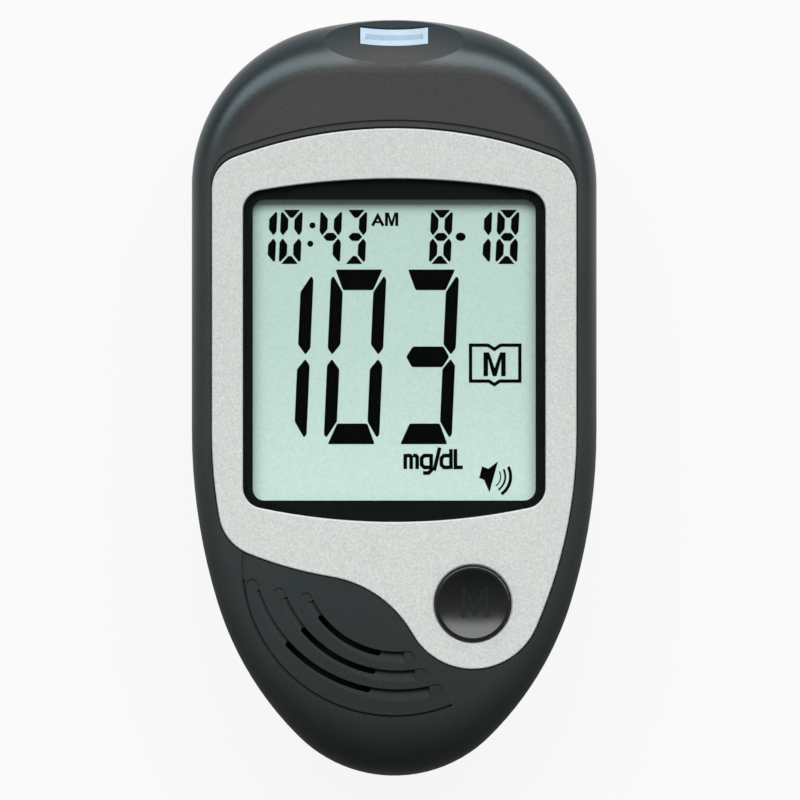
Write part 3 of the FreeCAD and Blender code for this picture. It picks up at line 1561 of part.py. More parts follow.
def screw(label, x, y, seat, radius, length, head_radius, head_height):
    """A pan-headed screw that points up, its head under the seat and a cross recess in the head."""
    body = new_body(label, x, y, seat)
    profile = Drawing(body, "XZ_Plane")
    profile.polygon((0, -head_height), (head_radius, -head_height), (head_radius, 0), (radius, 0),
                    (radius, length), (0, length))
    revolve(profile)
    soften(body, -head_height, head_height / 2)
    reach = size("cross_reach") * head_radius
    half = size("cross_width") * head_radius
    cross = Drawing(body, level=-head_height)
    cross.polygon((-half, -reach), (half, -reach), (half, -half), (reach, -half), (reach, half), (half, half),
                  (half, reach), (-half, reach), (-half, half), (-reach, half), (-reach, -half), (-half, -half))
    cut(cross, size("cross_depth") * head_height, along=True)
    return body


def housing_screws():
    length = CEILING - size("screw_end_gap") - size("screw_seat")
    return group("housing_screws", [
        screw("housing_screw", x, y, size("screw_seat"), size("screw_radius"), length,
              size("screw_head_radius"), size("screw_head_height")) for x, y in HOUSING_POSTS])


def board_screws():
    return group("board_screws", [
        screw("board_screw", x, y, BOARD_BOTTOM, size("board_screw_radius"), size("board_screw_length"),
              size("board_head_radius"), size("board_head_height")) for x, y in BOARD_POSTS])


# The whole meter

pieces = [
    front_housing(), rear_housing(), bezel_plate(), display_window(), window_gasket(), lcd_panel(),
    lcd_holder(), zebra_strip(), main_board(), strip_guide(), strip_connector(), strip_contacts(),
    speaker_leads(), main_button(), battery_door(), housing_screws(), board_screws(),
]
pieces += board_parts() + speaker_parts() + main_key() + set_key() + battery_parts()
doc.recompute()

for item in doc.Objects:
    if "Invalid" in item.State or "Error" in item.State:
        raise RuntimeError("%s failed: %s" % (item.Label, item.State))
    if item.TypeId == "Sketcher::SketchObject" and not item.FullyConstrained:
        raise RuntimeError("%s of %s is loose" % (item.Label, item.getParentGeoFeatureGroup().Label))
for piece in pieces:
    if piece.Shape.isNull() or not piece.Shape.isValid():
        raise RuntimeError(piece.Label + " has no valid shape")

os.makedirs("parts", exist_ok=True)
for piece in pieces:
    piece.Shape.exportStep("parts/%s.step" % piece.Label)
print("%d pieces written" % len(pieces))
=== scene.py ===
# %% [markdown]
# # Dressing a blood glucose meter
# A glucose meter is a palm-sized case. It reads a drop of blood on a test strip and shows the
# result on a large display. Its solid parts, such as the two shells, the silver plate and the
# button, come ready made in metres. This lesson gives them their finishes, draws the signs on the
# display, and sets the camera and the light.

# %% Load the solid parts
import json
import math

import bmesh
import bpy
from mathutils import Matrix, Vector


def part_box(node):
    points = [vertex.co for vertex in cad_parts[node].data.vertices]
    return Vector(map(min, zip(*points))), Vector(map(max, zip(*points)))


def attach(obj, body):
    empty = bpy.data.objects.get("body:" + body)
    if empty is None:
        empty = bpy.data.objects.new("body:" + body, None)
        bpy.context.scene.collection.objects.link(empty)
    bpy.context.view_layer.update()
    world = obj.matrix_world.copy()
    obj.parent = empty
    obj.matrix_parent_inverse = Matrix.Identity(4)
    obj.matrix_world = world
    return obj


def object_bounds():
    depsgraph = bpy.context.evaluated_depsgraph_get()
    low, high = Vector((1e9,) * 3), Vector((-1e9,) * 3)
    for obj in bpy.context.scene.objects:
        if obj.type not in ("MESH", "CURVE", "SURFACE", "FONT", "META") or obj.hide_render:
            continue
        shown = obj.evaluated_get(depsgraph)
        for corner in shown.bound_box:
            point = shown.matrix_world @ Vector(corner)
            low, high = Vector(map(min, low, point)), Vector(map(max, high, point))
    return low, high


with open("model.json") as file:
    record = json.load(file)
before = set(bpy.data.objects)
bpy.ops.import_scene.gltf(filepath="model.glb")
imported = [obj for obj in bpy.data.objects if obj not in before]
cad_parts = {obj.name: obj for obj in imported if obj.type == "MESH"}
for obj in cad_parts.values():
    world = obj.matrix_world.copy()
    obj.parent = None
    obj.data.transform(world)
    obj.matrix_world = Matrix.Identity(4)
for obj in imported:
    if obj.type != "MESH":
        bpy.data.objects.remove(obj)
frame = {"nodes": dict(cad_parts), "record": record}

MM = 0.001
scene = bpy.context.scene
solid_low, solid_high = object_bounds()
print("solid parts:", len(frame["nodes"]))
print("size in mm:", [round(side / MM, 1) for side in solid_high - solid_low])

# %% [markdown]
# ## Camera
# The meter was photographed from straight above its display, from far enough away that its sides
# hardly show. A camera that isn't turned looks straight down, with +Y at the top of the picture, so
# only its place and its lens are needed. The lens is worked out from the width that the picture
# covers at the height of the case.

# %% Camera above the display
PICTURE_WIDTH = 102.83 * MM
PICTURE_CENTRE = Vector((0.745, -0.27, 17.0)) * MM
CAMERA_RISE = 2.0
SENSOR_WIDTH = 36.0

camera_data = bpy.data.cameras.new("front_camera")
camera_data.sensor_width = SENSOR_WIDTH
camera_data.lens = SENSOR_WIDTH * CAMERA_RISE / PICTURE_WIDTH
camera = bpy.data.objects.new("front_camera", camera_data)
camera.location = PICTURE_CENTRE + Vector((0, 0, CAMERA_RISE))
scene.collection.objects.link(camera)
scene.camera = camera
scene.view_settings.view_transform = "Standard"
print("lens in mm:", round(camera_data.lens, 1))

# %% [markdown]
# ## Light
# One wide soft box stands beyond the nose of the meter and leans over it. Its light comes down the
# case towards the viewer, so the nose shines, the lower rim falls into shade, and the hollow of the
# button catches the lamp at its lower edge. It is a little cool, like a window, and a warmer pale
# sky, dimmer at the lower end, fills the shadows. Both are low enough for colours to show as
# written.

# %% Lamp and sky
LAMP_PLACE = Vector((0.0, 1.28, 1.56))
LAMP_WIDTH, LAMP_HEIGHT = 3.4, 1.2
LAMP_WATTS = 58.5
LAMP_COLOUR = (0.96, 0.99, 1.0)
SKY_DIM, SKY_BRIGHT = 0.03, 0.52
SKY_COLOUR = (1, 0.95, 0.88, 1)

lamp_data = bpy.data.lights.new("nose_lamp", "AREA")
lamp_data.shape = "RECTANGLE"
lamp_data.size = LAMP_WIDTH
lamp_data.size_y = LAMP_HEIGHT
lamp_data.energy = LAMP_WATTS
lamp_data.color = LAMP_COLOUR
lamp = bpy.data.objects.new("nose_lamp", lamp_data)
lamp.location = LAMP_PLACE
lamp.rotation_euler = (PICTURE_CENTRE - LAMP_PLACE).to_track_quat("-Z", "Y").to_euler()
scene.collection.objects.link(lamp)

sky = bpy.data.worlds.new("pale_sky")
sky.use_nodes = True
scene.world = sky
sky_nodes = sky.node_tree.nodes
sky_direction = sky_nodes.new("ShaderNodeTexCoord")
sky_split = sky_nodes.new("ShaderNodeSeparateXYZ")
sky_level = sky_nodes.new("ShaderNodeMapRange")
sky_level.inputs["From Min"].default_value = -1.0
sky_level.inputs["To Min"].default_value = SKY_DIM
sky_level.inputs["To Max"].default_value = SKY_BRIGHT
sky_nodes["Background"].inputs["Color"].default_value = SKY_COLOUR
sky.node_tree.links.new(sky_direction.outputs["Generated"], sky_split.inputs["Vector"])
sky.node_tree.links.new(sky_split.outputs["Y"], sky_level.inputs["Value"])
sky.node_tree.links.new(sky_level.outputs["Result"], sky_nodes["Background"].inputs["Strength"])
print("lamp and its watts:", lamp.name, LAMP_WATTS)

# %% [markdown]
# ## Floor
# A product picture has a floor that is nearly white. A white floor alone would look grey at its far
# end, where less light falls. Here most of what the camera sees of it is plain white, and the rest
# is a matt grey that keeps the shadow of the case and throws little light back at its sides.

# %% Pale floor
FLOOR_DROP = 0.1 * MM
FLOOR_RADIUS = 12.0
FLOOR_SEGMENTS = 96
FLOOR_GREY = (0.55, 0.55, 0.55, 1)
FLOOR_ROUGHNESS = 0.9
WHITE_SHARE = 0.9

floor_shape = bmesh.new()
bmesh.ops.create_circle(floor_shape, cap_ends=True, segments=FLOOR_SEGMENTS, radius=FLOOR_RADIUS)
bmesh.ops.translate(floor_shape, vec=(0, 0, -FLOOR_DROP), verts=floor_shape.verts)
floor_mesh = bpy.data.meshes.new("pale_floor")
floor_shape.to_mesh(floor_mesh)
floor_shape.free()
floor = bpy.data.objects.new("pale_floor", floor_mesh)
scene.collection.objects.link(floor)

floor_finish = bpy.data.materials.new("floor_paper")
floor_finish.use_nodes = True
paper = floor_finish.node_tree
paper_glow = paper.nodes.new("ShaderNodeEmission")
paper_mix = paper.nodes.new("ShaderNodeMixShader")
paper_path = paper.nodes.new("ShaderNodeLightPath")
seen = paper_path.outputs["Is Camera Ray"]
for other_ray in ("Is Glossy Ray", "Is Transmission Ray"):
    either = paper.nodes.new("ShaderNodeMath")
    either.operation = "MAXIMUM"
    paper.links.new(seen, either.inputs[0])
    paper.links.new(paper_path.outputs[other_ray], either.inputs[1])
    seen = either.outputs["Value"]
most = paper.nodes.new("ShaderNodeMath")
most.operation = "MULTIPLY"
most.inputs[1].default_value = WHITE_SHARE
paper_matt = paper.nodes["Principled BSDF"]
paper_matt.inputs["Base Color"].default_value = FLOOR_GREY
paper_matt.inputs["Roughness"].default_value = FLOOR_ROUGHNESS
paper.links.new(seen, most.inputs[0])
paper.links.new(most.outputs["Value"], paper_mix.inputs["Fac"])
paper.links.new(paper_matt.outputs["BSDF"], paper_mix.inputs[1])
paper.links.new(paper_glow.outputs["Emission"], paper_mix.inputs[2])
paper.links.new(paper_mix.outputs["Shader"], paper.nodes["Material Output"].inputs["Surface"])
floor_mesh.materials.append(floor_finish)
print("floor radius in m:", FLOOR_RADIUS)

# %% [markdown]
# ## How the finishes are built
# Each finish below is one shader with a few noise patterns: one changes the colour a little, one
# the roughness, and one raises a fine bump. The patterns read Object coordinates, which are metres
# here, so a noise scale of 4000 gives grains about a quarter of a millimetre across. Most of a
# noise lies between 0.3 and 0.7, so that range is stretched to the two values wanted. A small class
# keeps the wiring short.

# %% A class for finishes
def tone(red, green, blue):
    """A colour read from 0 to 255, in the linear values that shaders take."""
    shares = [channel / 255 for channel in (red, green, blue)]
    return tuple(((s + 0.055) / 1.055) ** 2.4 if s > 0.04 else s / 12.92 for s in shares) + (1.0,)


NOISE_LOW, NOISE_HIGH = 0.3, 0.7
# A Mix node has sockets for every kind of value, so those for colours are picked by number.
MIX_FACTOR, MIX_UNDER, MIX_UPPER, MIX_RESULT = 0, 6, 7, 2


class Finish:
    """A material whose patterns read Object coordinates."""

    def __init__(self, name, settings):
        self.material = bpy.data.materials.new(name)
        self.material.use_nodes = True
        self.tree = self.material.node_tree
        self.shader = self.tree.nodes["Principled BSDF"]
        self.place = self.tree.nodes.new("ShaderNodeTexCoord").outputs["Object"]
        for socket, value in settings.items():
            self.shader.inputs[socket].default_value = value

    def join(self, source, target):
        """Links an output socket to an input socket."""
        self.tree.links.new(source, target)

    def noise(self, scale, detail=2.0, stretch=(1, 1, 1)):
        """A noise pattern from 0 to 1, with that many grains per metre."""
        mapping = self.tree.nodes.new("ShaderNodeMapping")
        mapping.inputs["Scale"].default_value = stretch
        pattern = self.tree.nodes.new("ShaderNodeTexNoise")
        pattern.inputs["Scale"].default_value = scale
        pattern.inputs["Detail"].default_value = detail
        self.join(self.place, mapping.inputs["Vector"])
        self.join(mapping.outputs["Vector"], pattern.inputs["Vector"])
        return pattern.outputs["Fac"]

    def along(self, axis):
        """The place along X, Y or Z, in metres."""
        split = self.tree.nodes.new("ShaderNodeSeparateXYZ")
        self.join(self.place, split.inputs["Vector"])
        return split.outputs[axis]

    def span(self, value, start, end, low=0.0, high=1.0):
        """Maps the range from start to end to the range from low to high."""
        node = self.tree.nodes.new("ShaderNodeMapRange")
        limits = {"From Min": start, "From Max": end, "To Min": low, "To Max": high}
        for socket, number in limits.items():
            node.inputs[socket].default_value = number
        self.join(value, node.inputs["Value"])
        return node.outputs["Result"]

    def both(self, first, second):
        """Two values multiplied."""
        node = self.tree.nodes.new("ShaderNodeMath")
        node.operation = "MULTIPLY"
        self.join(first, node.inputs[0])
        self.join(second, node.inputs[1])
        return node.outputs["Value"]

    def away(self, x, y):
        """The distance from an upright line at that place, in metres."""
        shift = self.tree.nodes.new("ShaderNodeMapping")
        shift.inputs["Location"].default_value = (-x, -y, 0)
        shift.inputs["Scale"].default_value = (1, 1, 0)
        length = self.tree.nodes.new("ShaderNodeVectorMath")
        length.operation = "LENGTH"
        self.join(self.place, shift.inputs["Vector"])
        self.join(shift.outputs["Vector"], length.inputs[0])
        return length.outputs["Value"]

    def ramp(self, value, stops, interpolation="LINEAR"):
        """Colours at places from 0 to 1."""
        node = self.tree.nodes.new("ShaderNodeValToRGB")
        node.color_ramp.interpolation = interpolation
        while len(node.color_ramp.elements) < len(stops):
            node.color_ramp.elements.new(1.0)
        for element, (place, colour) in zip(node.color_ramp.elements, stops):
            element.position = place
            element.color = colour
        self.join(value, node.inputs["Fac"])
        return node.outputs["Color"]

    def tint(self, colour, speck, low, high):
        """Darkens or lightens a colour by a pattern between 0 and 1."""
        node = self.tree.nodes.new("ShaderNodeHueSaturation")
        self.join(self.span(speck, NOISE_LOW, NOISE_HIGH, low, high), node.inputs["Value"])
        if isinstance(colour, tuple):
            node.inputs["Color"].default_value = colour
        else:
            self.join(colour, node.inputs["Color"])
        return node.outputs["Color"]

    def over(self, mask, under, upper):
        """Lays a plain colour over another where the mask is 1."""
        node = self.tree.nodes.new("ShaderNodeMix")
        node.data_type = "RGBA"
        self.join(mask, node.inputs[MIX_FACTOR])
        self.join(under, node.inputs[MIX_UNDER])
        node.inputs[MIX_UPPER].default_value = upper
        return node.outputs[MIX_RESULT]

    def paint(self, colour):
        """Sets the base colour."""
        self.join(colour, self.shader.inputs["Base Color"])

    def gloss(self, pattern, low, high):
        """Roughness between two values."""
        rough = self.span(pattern, NOISE_LOW, NOISE_HIGH, low, high)
        self.join(rough, self.shader.inputs["Roughness"])

    def bump(self, pattern, depth, strength=1.0):
        """Raises the surface by a pattern, to a depth in metres."""
        node = self.tree.nodes.new("ShaderNodeBump")
        node.inputs["Distance"].default_value = depth
        node.inputs["Strength"].default_value = strength
        self.join(pattern, node.inputs["Height"])
        self.join(node.outputs["Normal"], self.shader.inputs["Normal"])


finishes = {}
print("a middle grey in linear values:", [round(v, 3) for v in tone(128, 128, 128)[:3]])

# %% [markdown]
# ## Charcoal shells
# The two shells and the battery door are moulded from charcoal plastic. The mould is etched, which
# leaves a fine even grain that scatters the light, and handling polishes it in soft patches. A fine
# noise gives the grain and a broad one the patches. The two long edges, where the hand closes round
# the case, are rubbed a little lighter. Light and shade are also painted into the colour: it is
# lighter towards the nose and darker towards the lower end, the flat of the nose gets a pale warm
# painted light, and the rim round it a dark cool painted shade. That rim shines, and the lower end
# is quite matt. Masks along Y and round the middle of the nose's arc place these changes.

# %% Moulded charcoal
COOL_SHEEN = (0.76, 0.94, 1.0, 1.0)
# Tones of the painted light on the flat of the nose and of the painted shade on its rim.
NOSE_FLAT_PAINTED_LIGHT, NOSE_RIM_PAINTED_SHADE = tone(64, 62, 61), tone(25, 33, 37)
NOSE_START, NOSE_FULL = 15 * MM, 36 * MM
NOSE_ARC_Y = 20.6 * MM
TAIL_END, NOSE_BEND = -48 * MM, 31 * MM
TAIL_SPECULAR, NOSE_SPECULAR = 0.08, 0.52
TAIL_ROUGHNESS, NOSE_ROUGHNESS = 0.72, 0.31
RIM_INNER, RIM_OUTER = 23.5 * MM, 27.2 * MM
LONG_EDGE = solid_high.x
RUBBED_WIDTH = 1.4 * MM

charcoal = Finish("housing_charcoal", {"Specular Tint": COOL_SHEEN})
etched = charcoal.noise(3600, detail=1.0)
handled = charcoal.noise(45, detail=3.0)
shell_tones = [(NOISE_LOW, tone(45, 49, 49)), (NOISE_HIGH, tone(51, 55, 55))]
shell_colour = charcoal.ramp(handled, shell_tones)
sideways, lengthways = charcoal.along("X"), charcoal.along("Y")
squared = charcoal.both(sideways, sideways)
outer_edge = charcoal.span(squared, (LONG_EDGE - RUBBED_WIDTH) ** 2, LONG_EDGE ** 2)
rubbed = charcoal.both(outer_edge, charcoal.noise(260, detail=3.0))
# Painted light and shade: the colour is made darker towards the lower end and lighter towards the nose.
painted_light_toward_tip = charcoal.span(lengthways, TAIL_END, NOSE_BEND, NOISE_LOW, NOISE_HIGH)
painted_light_along_shell = charcoal.tint(shell_colour, painted_light_toward_tip, 0.86, 1.2)
on_nose = charcoal.span(lengthways, NOSE_START, NOSE_FULL)
round_nose = charcoal.span(charcoal.away(0, NOSE_ARC_Y), RIM_INNER, RIM_OUTER)
# Painted light: a paler, warmer tone laid over the flat of the nose.
painted_nose_light = charcoal.over(on_nose, painted_light_along_shell, NOSE_FLAT_PAINTED_LIGHT)
# Painted shade: a dark cool tone laid on the rim round the nose.
painted_rim_shade = charcoal.over(charcoal.both(on_nose, round_nose), painted_nose_light, NOSE_RIM_PAINTED_SHADE)
grained = charcoal.tint(painted_rim_shade, etched, 0.9, 1.1)
charcoal.paint(charcoal.tint(grained, rubbed, 1.0, 1.25))
shine = charcoal.span(lengthways, -45 * MM, NOSE_FULL, TAIL_SPECULAR, NOSE_SPECULAR)
charcoal.join(shine, charcoal.shader.inputs["Specular IOR Level"])
matt = charcoal.span(lengthways, 32 * MM, -25 * MM, NOSE_ROUGHNESS, TAIL_ROUGHNESS)
polished = charcoal.span(handled, NOISE_LOW, NOISE_HIGH, 0.92, 1.08)
charcoal.join(charcoal.both(matt, polished), charcoal.shader.inputs["Roughness"])
charcoal.bump(etched, 0.02 * MM, 0.5)
finishes["housing_charcoal"] = charcoal
print("finish:", charcoal.material.name)

# %% [markdown]
# ## Silver plate
# The plate round the display is plastic with a silver paint. Flakes of metal in the paint make it
# glitter in fine specks, and it is far less mirror-like than metal. Two noises of different sizes
# stand for the flakes. A little painted light makes it lighter towards the foot, and fingers have
# dulled it round the button.

# %% Silver paint
silver = Finish("bezel_silver", {"Metallic": 0.2, "Specular IOR Level": 0.3})
button_low, button_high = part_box("main_button")
button_centre = (button_low + button_high) / 2
button_rim = (button_high.x - button_low.x) / 2
DULL_WIDTH = 1.5 * MM
flakes = silver.noise(4300, detail=1.0)
clumps = silver.noise(2400, detail=2.0)
silver_tones = [(NOISE_LOW, tone(208, 211, 209)), (NOISE_HIGH, tone(216, 219, 217))]
paint_colour = silver.ramp(clumps, silver_tones)
# Painted light: the plate is made a little lighter towards the foot.
painted_light_toward_foot = silver.span(silver.along("Y"), 35 * MM, -38 * MM)
from_button = silver.away(button_centre.x, button_centre.y)
round_button = silver.span(from_button, button_rim + DULL_WIDTH, button_rim)
dulled = silver.both(round_button, silver.noise(500, detail=3.0))
painted_light_colour = silver.tint(paint_colour, painted_light_toward_foot, 0.97, 1.03)
worn_colour = silver.tint(painted_light_colour, dulled, 1.0, 0.93)
silver.paint(silver.tint(worn_colour, flakes, 0.89, 1.09))
silver.gloss(flakes, 0.52, 0.68)
silver.bump(flakes, 0.008 * MM, 0.5)
finishes["bezel_silver"] = silver
print("finish:", silver.material.name)

# %% [markdown]
# ## Window and its dark border
# The window is a clear plate over the display, and a matt black frame behind it makes the dark
# border. A true glass shader would keep the lamp's light from the display, so the window is a
# glossy surface that is mostly see-through. Faint smears in its roughness keep it from looking
# empty.

# %% Clear window and black frame
see_through = {"Base Color": tone(12, 15, 15), "Alpha": 0.06, "Specular IOR Level": 0.5}
clear = Finish("window_clear", see_through)
clear.gloss(clear.noise(160, detail=3.0), 0.03, 0.09)
finishes["window_clear"] = clear

black_frame = Finish("gasket_black", {"Specular IOR Level": 0.06})
frame_grain = black_frame.noise(2500)
black_frame.paint(black_frame.tint(tone(13, 20, 18), frame_grain, 0.85, 1.15))
black_frame.gloss(frame_grain, 0.5, 0.65)
finishes["gasket_black"] = black_frame
print("finishes:", clear.material.name, black_frame.material.name)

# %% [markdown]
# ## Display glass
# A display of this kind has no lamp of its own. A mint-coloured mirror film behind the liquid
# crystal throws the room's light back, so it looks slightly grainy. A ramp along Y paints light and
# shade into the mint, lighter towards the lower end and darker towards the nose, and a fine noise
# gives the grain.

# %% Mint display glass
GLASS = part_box("lcd_panel")[1].z
mint = Finish("lcd_glass", {"Specular IOR Level": 0.2})
# Painted light and shade: the mint is lightest at the lower end and darker towards the nose.
toward_nose = mint.span(mint.along("Y"), -13 * MM, 25 * MM)
mint_painted_light_tones = [(0.0, tone(227, 255, 247)), (0.5, tone(212, 242, 234)), (1.0, tone(206, 236, 228))]
mint_with_painted_light = mint.ramp(toward_nose, mint_painted_light_tones)
film_grain = mint.noise(3200, detail=1.0)
mint.paint(mint.tint(mint_with_painted_light, film_grain, 0.95, 1.04))
mint.gloss(film_grain, 0.3, 0.4)
finishes["lcd_glass"] = mint
print("display front at mm:", round(GLASS / MM, 3))

# %% [markdown]
# ## Button and strip guide
# The button is glossy black plastic, smoother than the shells, so its hollow mirrors the lamp.
# Thumbs wear its rim a little lighter and rougher. The guide in the strip port is a pale, slightly
# milky plastic that shows the strip's way in.

# %% Glossy button and milky guide
THUMBED_WIDTH = 0.8 * MM
gloss_black = Finish("button_black", {"Specular IOR Level": 0.58})
polish = gloss_black.noise(900, detail=2.0)
from_middle = gloss_black.away(button_centre.x, button_centre.y)
on_rim = gloss_black.span(from_middle, button_rim - THUMBED_WIDTH, button_rim)
thumbed = gloss_black.both(on_rim, polish)
button_colour = gloss_black.tint(tone(16, 21, 19), polish, 0.9, 1.1)
gloss_black.paint(gloss_black.tint(button_colour, thumbed, 1.0, 1.6))
gloss_black.gloss(thumbed, 0.25, 0.4)
gloss_black.bump(polish, 0.004 * MM, 0.4)
finishes["button_black"] = gloss_black

milky = Finish("guide_pale", {"Specular IOR Level": 0.5})
milk_cloud = milky.noise(400, detail=2.0)
milky.paint(milky.tint(tone(176, 198, 215), milk_cloud, 0.95, 1.05))
milky.gloss(milk_cloud, 0.25, 0.4)
finishes["guide_pale"] = milky
print("finishes:", gloss_black.material.name, milky.material.name)

# %% [markdown]
# ## Pieces behind the covers
# The board, the chips, the contacts and the loudspeaker are hidden until the meter is opened. They
# still get finishes of their own: metals with a directional grain, rubbers and plastics with a matt
# one. As they differ only in numbers, one table and one loop make them. A row gives the colour, how
# metallic it is, the lowest and the highest roughness, the grains per metre and how the grain is
# stretched.

# %% Finishes of the inner pieces
INNER = {
    "holder_white": (tone(216, 216, 211), 0.0, 0.45, 0.6, 2500, (1, 1, 1)),
    "zebra_pink": (tone(205, 140, 150), 0.0, 0.6, 0.75, 3000, (6, 1, 1)),
    "chip_black": (tone(36, 37, 38), 0.0, 0.55, 0.7, 6000, (1, 1, 1)),
    "contact_steel": (tone(196, 198, 198), 1.0, 0.22, 0.38, 2400, (1, 0.08, 1)),
    "contact_gold": (tone(222, 190, 110), 1.0, 0.2, 0.35, 2400, (1, 0.1, 1)),
    "speaker_steel": (tone(176, 178, 180), 1.0, 0.3, 0.45, 1800, (0.1, 1, 1)),
    "cone_black": (tone(30, 30, 31), 0.0, 0.7, 0.85, 1500, (1, 1, 1)),
    "lead_red": (tone(176, 38, 34), 0.0, 0.4, 0.5, 2000, (1, 1, 1)),
    "screw_steel": (tone(168, 170, 172), 1.0, 0.25, 0.42, 2600, (1, 1, 0.15)),
}
for slot_name, (colour, metal, smooth, rough, scale, stretch) in INNER.items():
    inner = Finish(slot_name, {"Metallic": metal, "Specular IOR Level": 0.5})
    inner_grain = inner.noise(scale, 2.0, stretch)
    inner.paint(inner.tint(colour, inner_grain, 0.92, 1.08))
    inner.gloss(inner_grain, smooth, rough)
    inner.bump(inner_grain, 0.006 * MM, 0.4)
    finishes[slot_name] = inner
print("inner finishes:", len(INNER))

# %% [markdown]
# ## Circuit board
# The board is glass cloth under a green lacquer, and copper tracks show through it as lighter
# lines. A brick pattern with long narrow bricks looks like runs of tracks, and a fine noise like
# the cloth.

# %% Green board
green = Finish("board_green", {"Specular IOR Level": 0.5})
tracks = green.tree.nodes.new("ShaderNodeTexBrick")
TRACKS = {"Scale": 220.0, "Mortar Size": 0.06, "Brick Width": 1.7, "Row Height": 0.28}
for socket, number in TRACKS.items():
    tracks.inputs[socket].default_value = number
tracks.inputs["Color1"].default_value = tone(28, 92, 58)
tracks.inputs["Color2"].default_value = tone(24, 84, 52)
tracks.inputs["Mortar"].default_value = tone(58, 124, 84)
green.join(green.place, tracks.inputs["Vector"])
cloth = green.noise(2200, detail=1.0)
green.paint(green.tint(tracks.outputs["Color"], cloth, 0.94, 1.06))
green.gloss(cloth, 0.25, 0.38)
green.bump(cloth, 0.006 * MM, 0.4)
finishes["board_green"] = green
print("finish:", green.material.name)

# %% [markdown]
# ## Cells
# Each AAA cell is a steel can in a printed sleeve that leaves both ends bare. The sleeve here is
# plain pale grey with one blue band. A ramp with hard steps along Y draws it for both cells, which
# lie side by side.

# %% Sleeves of the cells
cell_low, cell_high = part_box("cell_left")
BARE_END = 1.2 * MM
sleeve = Finish("cell_case", {"Specular IOR Level": 0.5})
down_cell = sleeve.span(sleeve.along("Y"), cell_low.y, cell_high.y)
bare = BARE_END / (cell_high.y - cell_low.y)
CAN_STEEL = tone(176, 178, 178)
SLEEVE_GREY = tone(214, 216, 214)
SLEEVE_BLUE = tone(52, 84, 128)
bands = [
    (0.0, CAN_STEEL),
    (bare, SLEEVE_GREY),
    (0.36, SLEEVE_BLUE),
    (0.64, SLEEVE_GREY),
    (1 - bare, CAN_STEEL),
]
printed = sleeve.ramp(down_cell, bands, "CONSTANT")
film = sleeve.noise(700, detail=2.0)
sleeve.paint(sleeve.tint(printed, film, 0.96, 1.04))
sleeve.gloss(film, 0.22, 0.34)
finishes["cell_case"] = sleeve
print("cell length in mm:", round((cell_high.y - cell_low.y) / MM, 2))

# %% [markdown]
# ## Finishes onto the solid parts
# The record says which slot each solid part belongs to. Their meshes are left as they are, and only
# the material changes.

# %% Dress every solid part
for entry in frame["record"]["subparts"]:
    mesh = frame["nodes"][entry["node"]].data
    mesh.materials.clear()
    mesh.materials.append(finishes[entry["material_slot"]].material)

# %% [markdown]
# ## Digits of the display
# Seven straight bars make any digit. On this display they lean a little to the right, the upright
# bars are slimmer than the level ones, and the ends are cut at a slant so that thin lines part
# them. A bar starts as a few corners in a bmesh, is filled with one face, and is extruded to a
# hair's height above the glass.

# %% Bars of a digit
INK_RISE = 0.03 * MM
LEAN = math.tan(math.radians(2.55))

ink = Finish("display_ink", {"Specular IOR Level": 0.02})
ink_grain = ink.noise(2600, detail=1.0)
ink.paint(ink.tint(tone(2, 3, 3), ink_grain, 0.8, 1.2))
ink.gloss(ink_grain, 0.4, 0.5)


def raise_ink(shape, faces):
    """Extrudes flat faces to the height of the ink."""
    risen = bmesh.ops.extrude_face_region(shape, geom=faces)["geom"]
    lifted = [part for part in risen if isinstance(part, bmesh.types.BMVert)]
    bmesh.ops.translate(shape, vec=(0, 0, INK_RISE), verts=lifted)


def digit_bars(width, height, upright, level, part, slant):
    """Corners of the bars a to g of a digit, in mm from its lower left corner, before it leans.

    The thin lines between the bars grow with part, and slant draws in the inner ends of a, d and g.
    """
    middle = height / 2
    half_level = level / 2

    outer = 0.34 * upright
    inner = upright + 0.1 * part + slant
    top = [(outer, height), (width - outer, height)]
    top += [(width - inner, height - level), (inner, height - level)]

    drop = 0.037 * height
    shoulder = height - level - 0.9 * part
    tip = (0.37 * upright, middle + 0.18 * upright)
    upper = [(0, height - 1.5 * drop), (0.2 * upright, height - drop), (upright, shoulder)]
    upper += [(upright, middle + upright), tip, (0, middle + 0.7 * upright)]

    reach = 0.5 * upright
    near = reach + 0.6 * half_level + slant
    far = width - near
    bar_g = [(reach, middle), (near, middle + half_level), (far, middle + half_level)]
    bar_g += [(width - reach, middle), (far, middle - half_level), (near, middle - half_level)]

    upper_right = [(width - x, y) for x, y in upper]
    return {
        "a": top,
        "b": upper_right,
        "c": [(x, height - y) for x, y in upper_right],
        "d": [(x, height - y) for x, y in top],
        "e": [(x, height - y) for x, y in upper],
        "f": upper,
        "g": bar_g,
    }


def ink_bar(shape, corners, blunt=0.0):
    """Adds one flat bar to a bmesh, with its corners in mm on the glass and rounded by that many mm."""
    before = set(shape.faces)
    points = [shape.verts.new((x * MM, y * MM, GLASS)) for x, y in corners]
    shape.faces.new(points)
    if blunt:
        bmesh.ops.bevel(
            shape, geom=points, offset=blunt * MM,
            affect="VERTICES", segments=2, profile=0.5, material=-1,
        )
    raise_ink(shape, [face for face in shape.faces if face not in before])


def ink_piece(name, shape):
    """Turns a finished bmesh into a piece of the display."""
    bmesh.ops.recalc_face_normals(shape, faces=shape.faces)
    mesh = bpy.data.meshes.new(name)
    shape.to_mesh(mesh)
    shape.free()
    mesh.materials.append(ink.material)
    piece = bpy.data.objects.new(name, mesh)
    scene.collection.objects.link(piece)
    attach(piece, "meter")


BARS_OF = {"0": "abcdef", "1": "bc", "3": "abcdg", "4": "bcfg", "8": "abcdefg"}
print("bars in an 8:", len(BARS_OF["8"]))

# %% [markdown]
# ## Reading, time and date
# The large reading fills the middle of the display, with the time and the date in small digits
# above it. Each digit is given by its right edge at the foot, because a 1 lights only the two bars
# on the right.

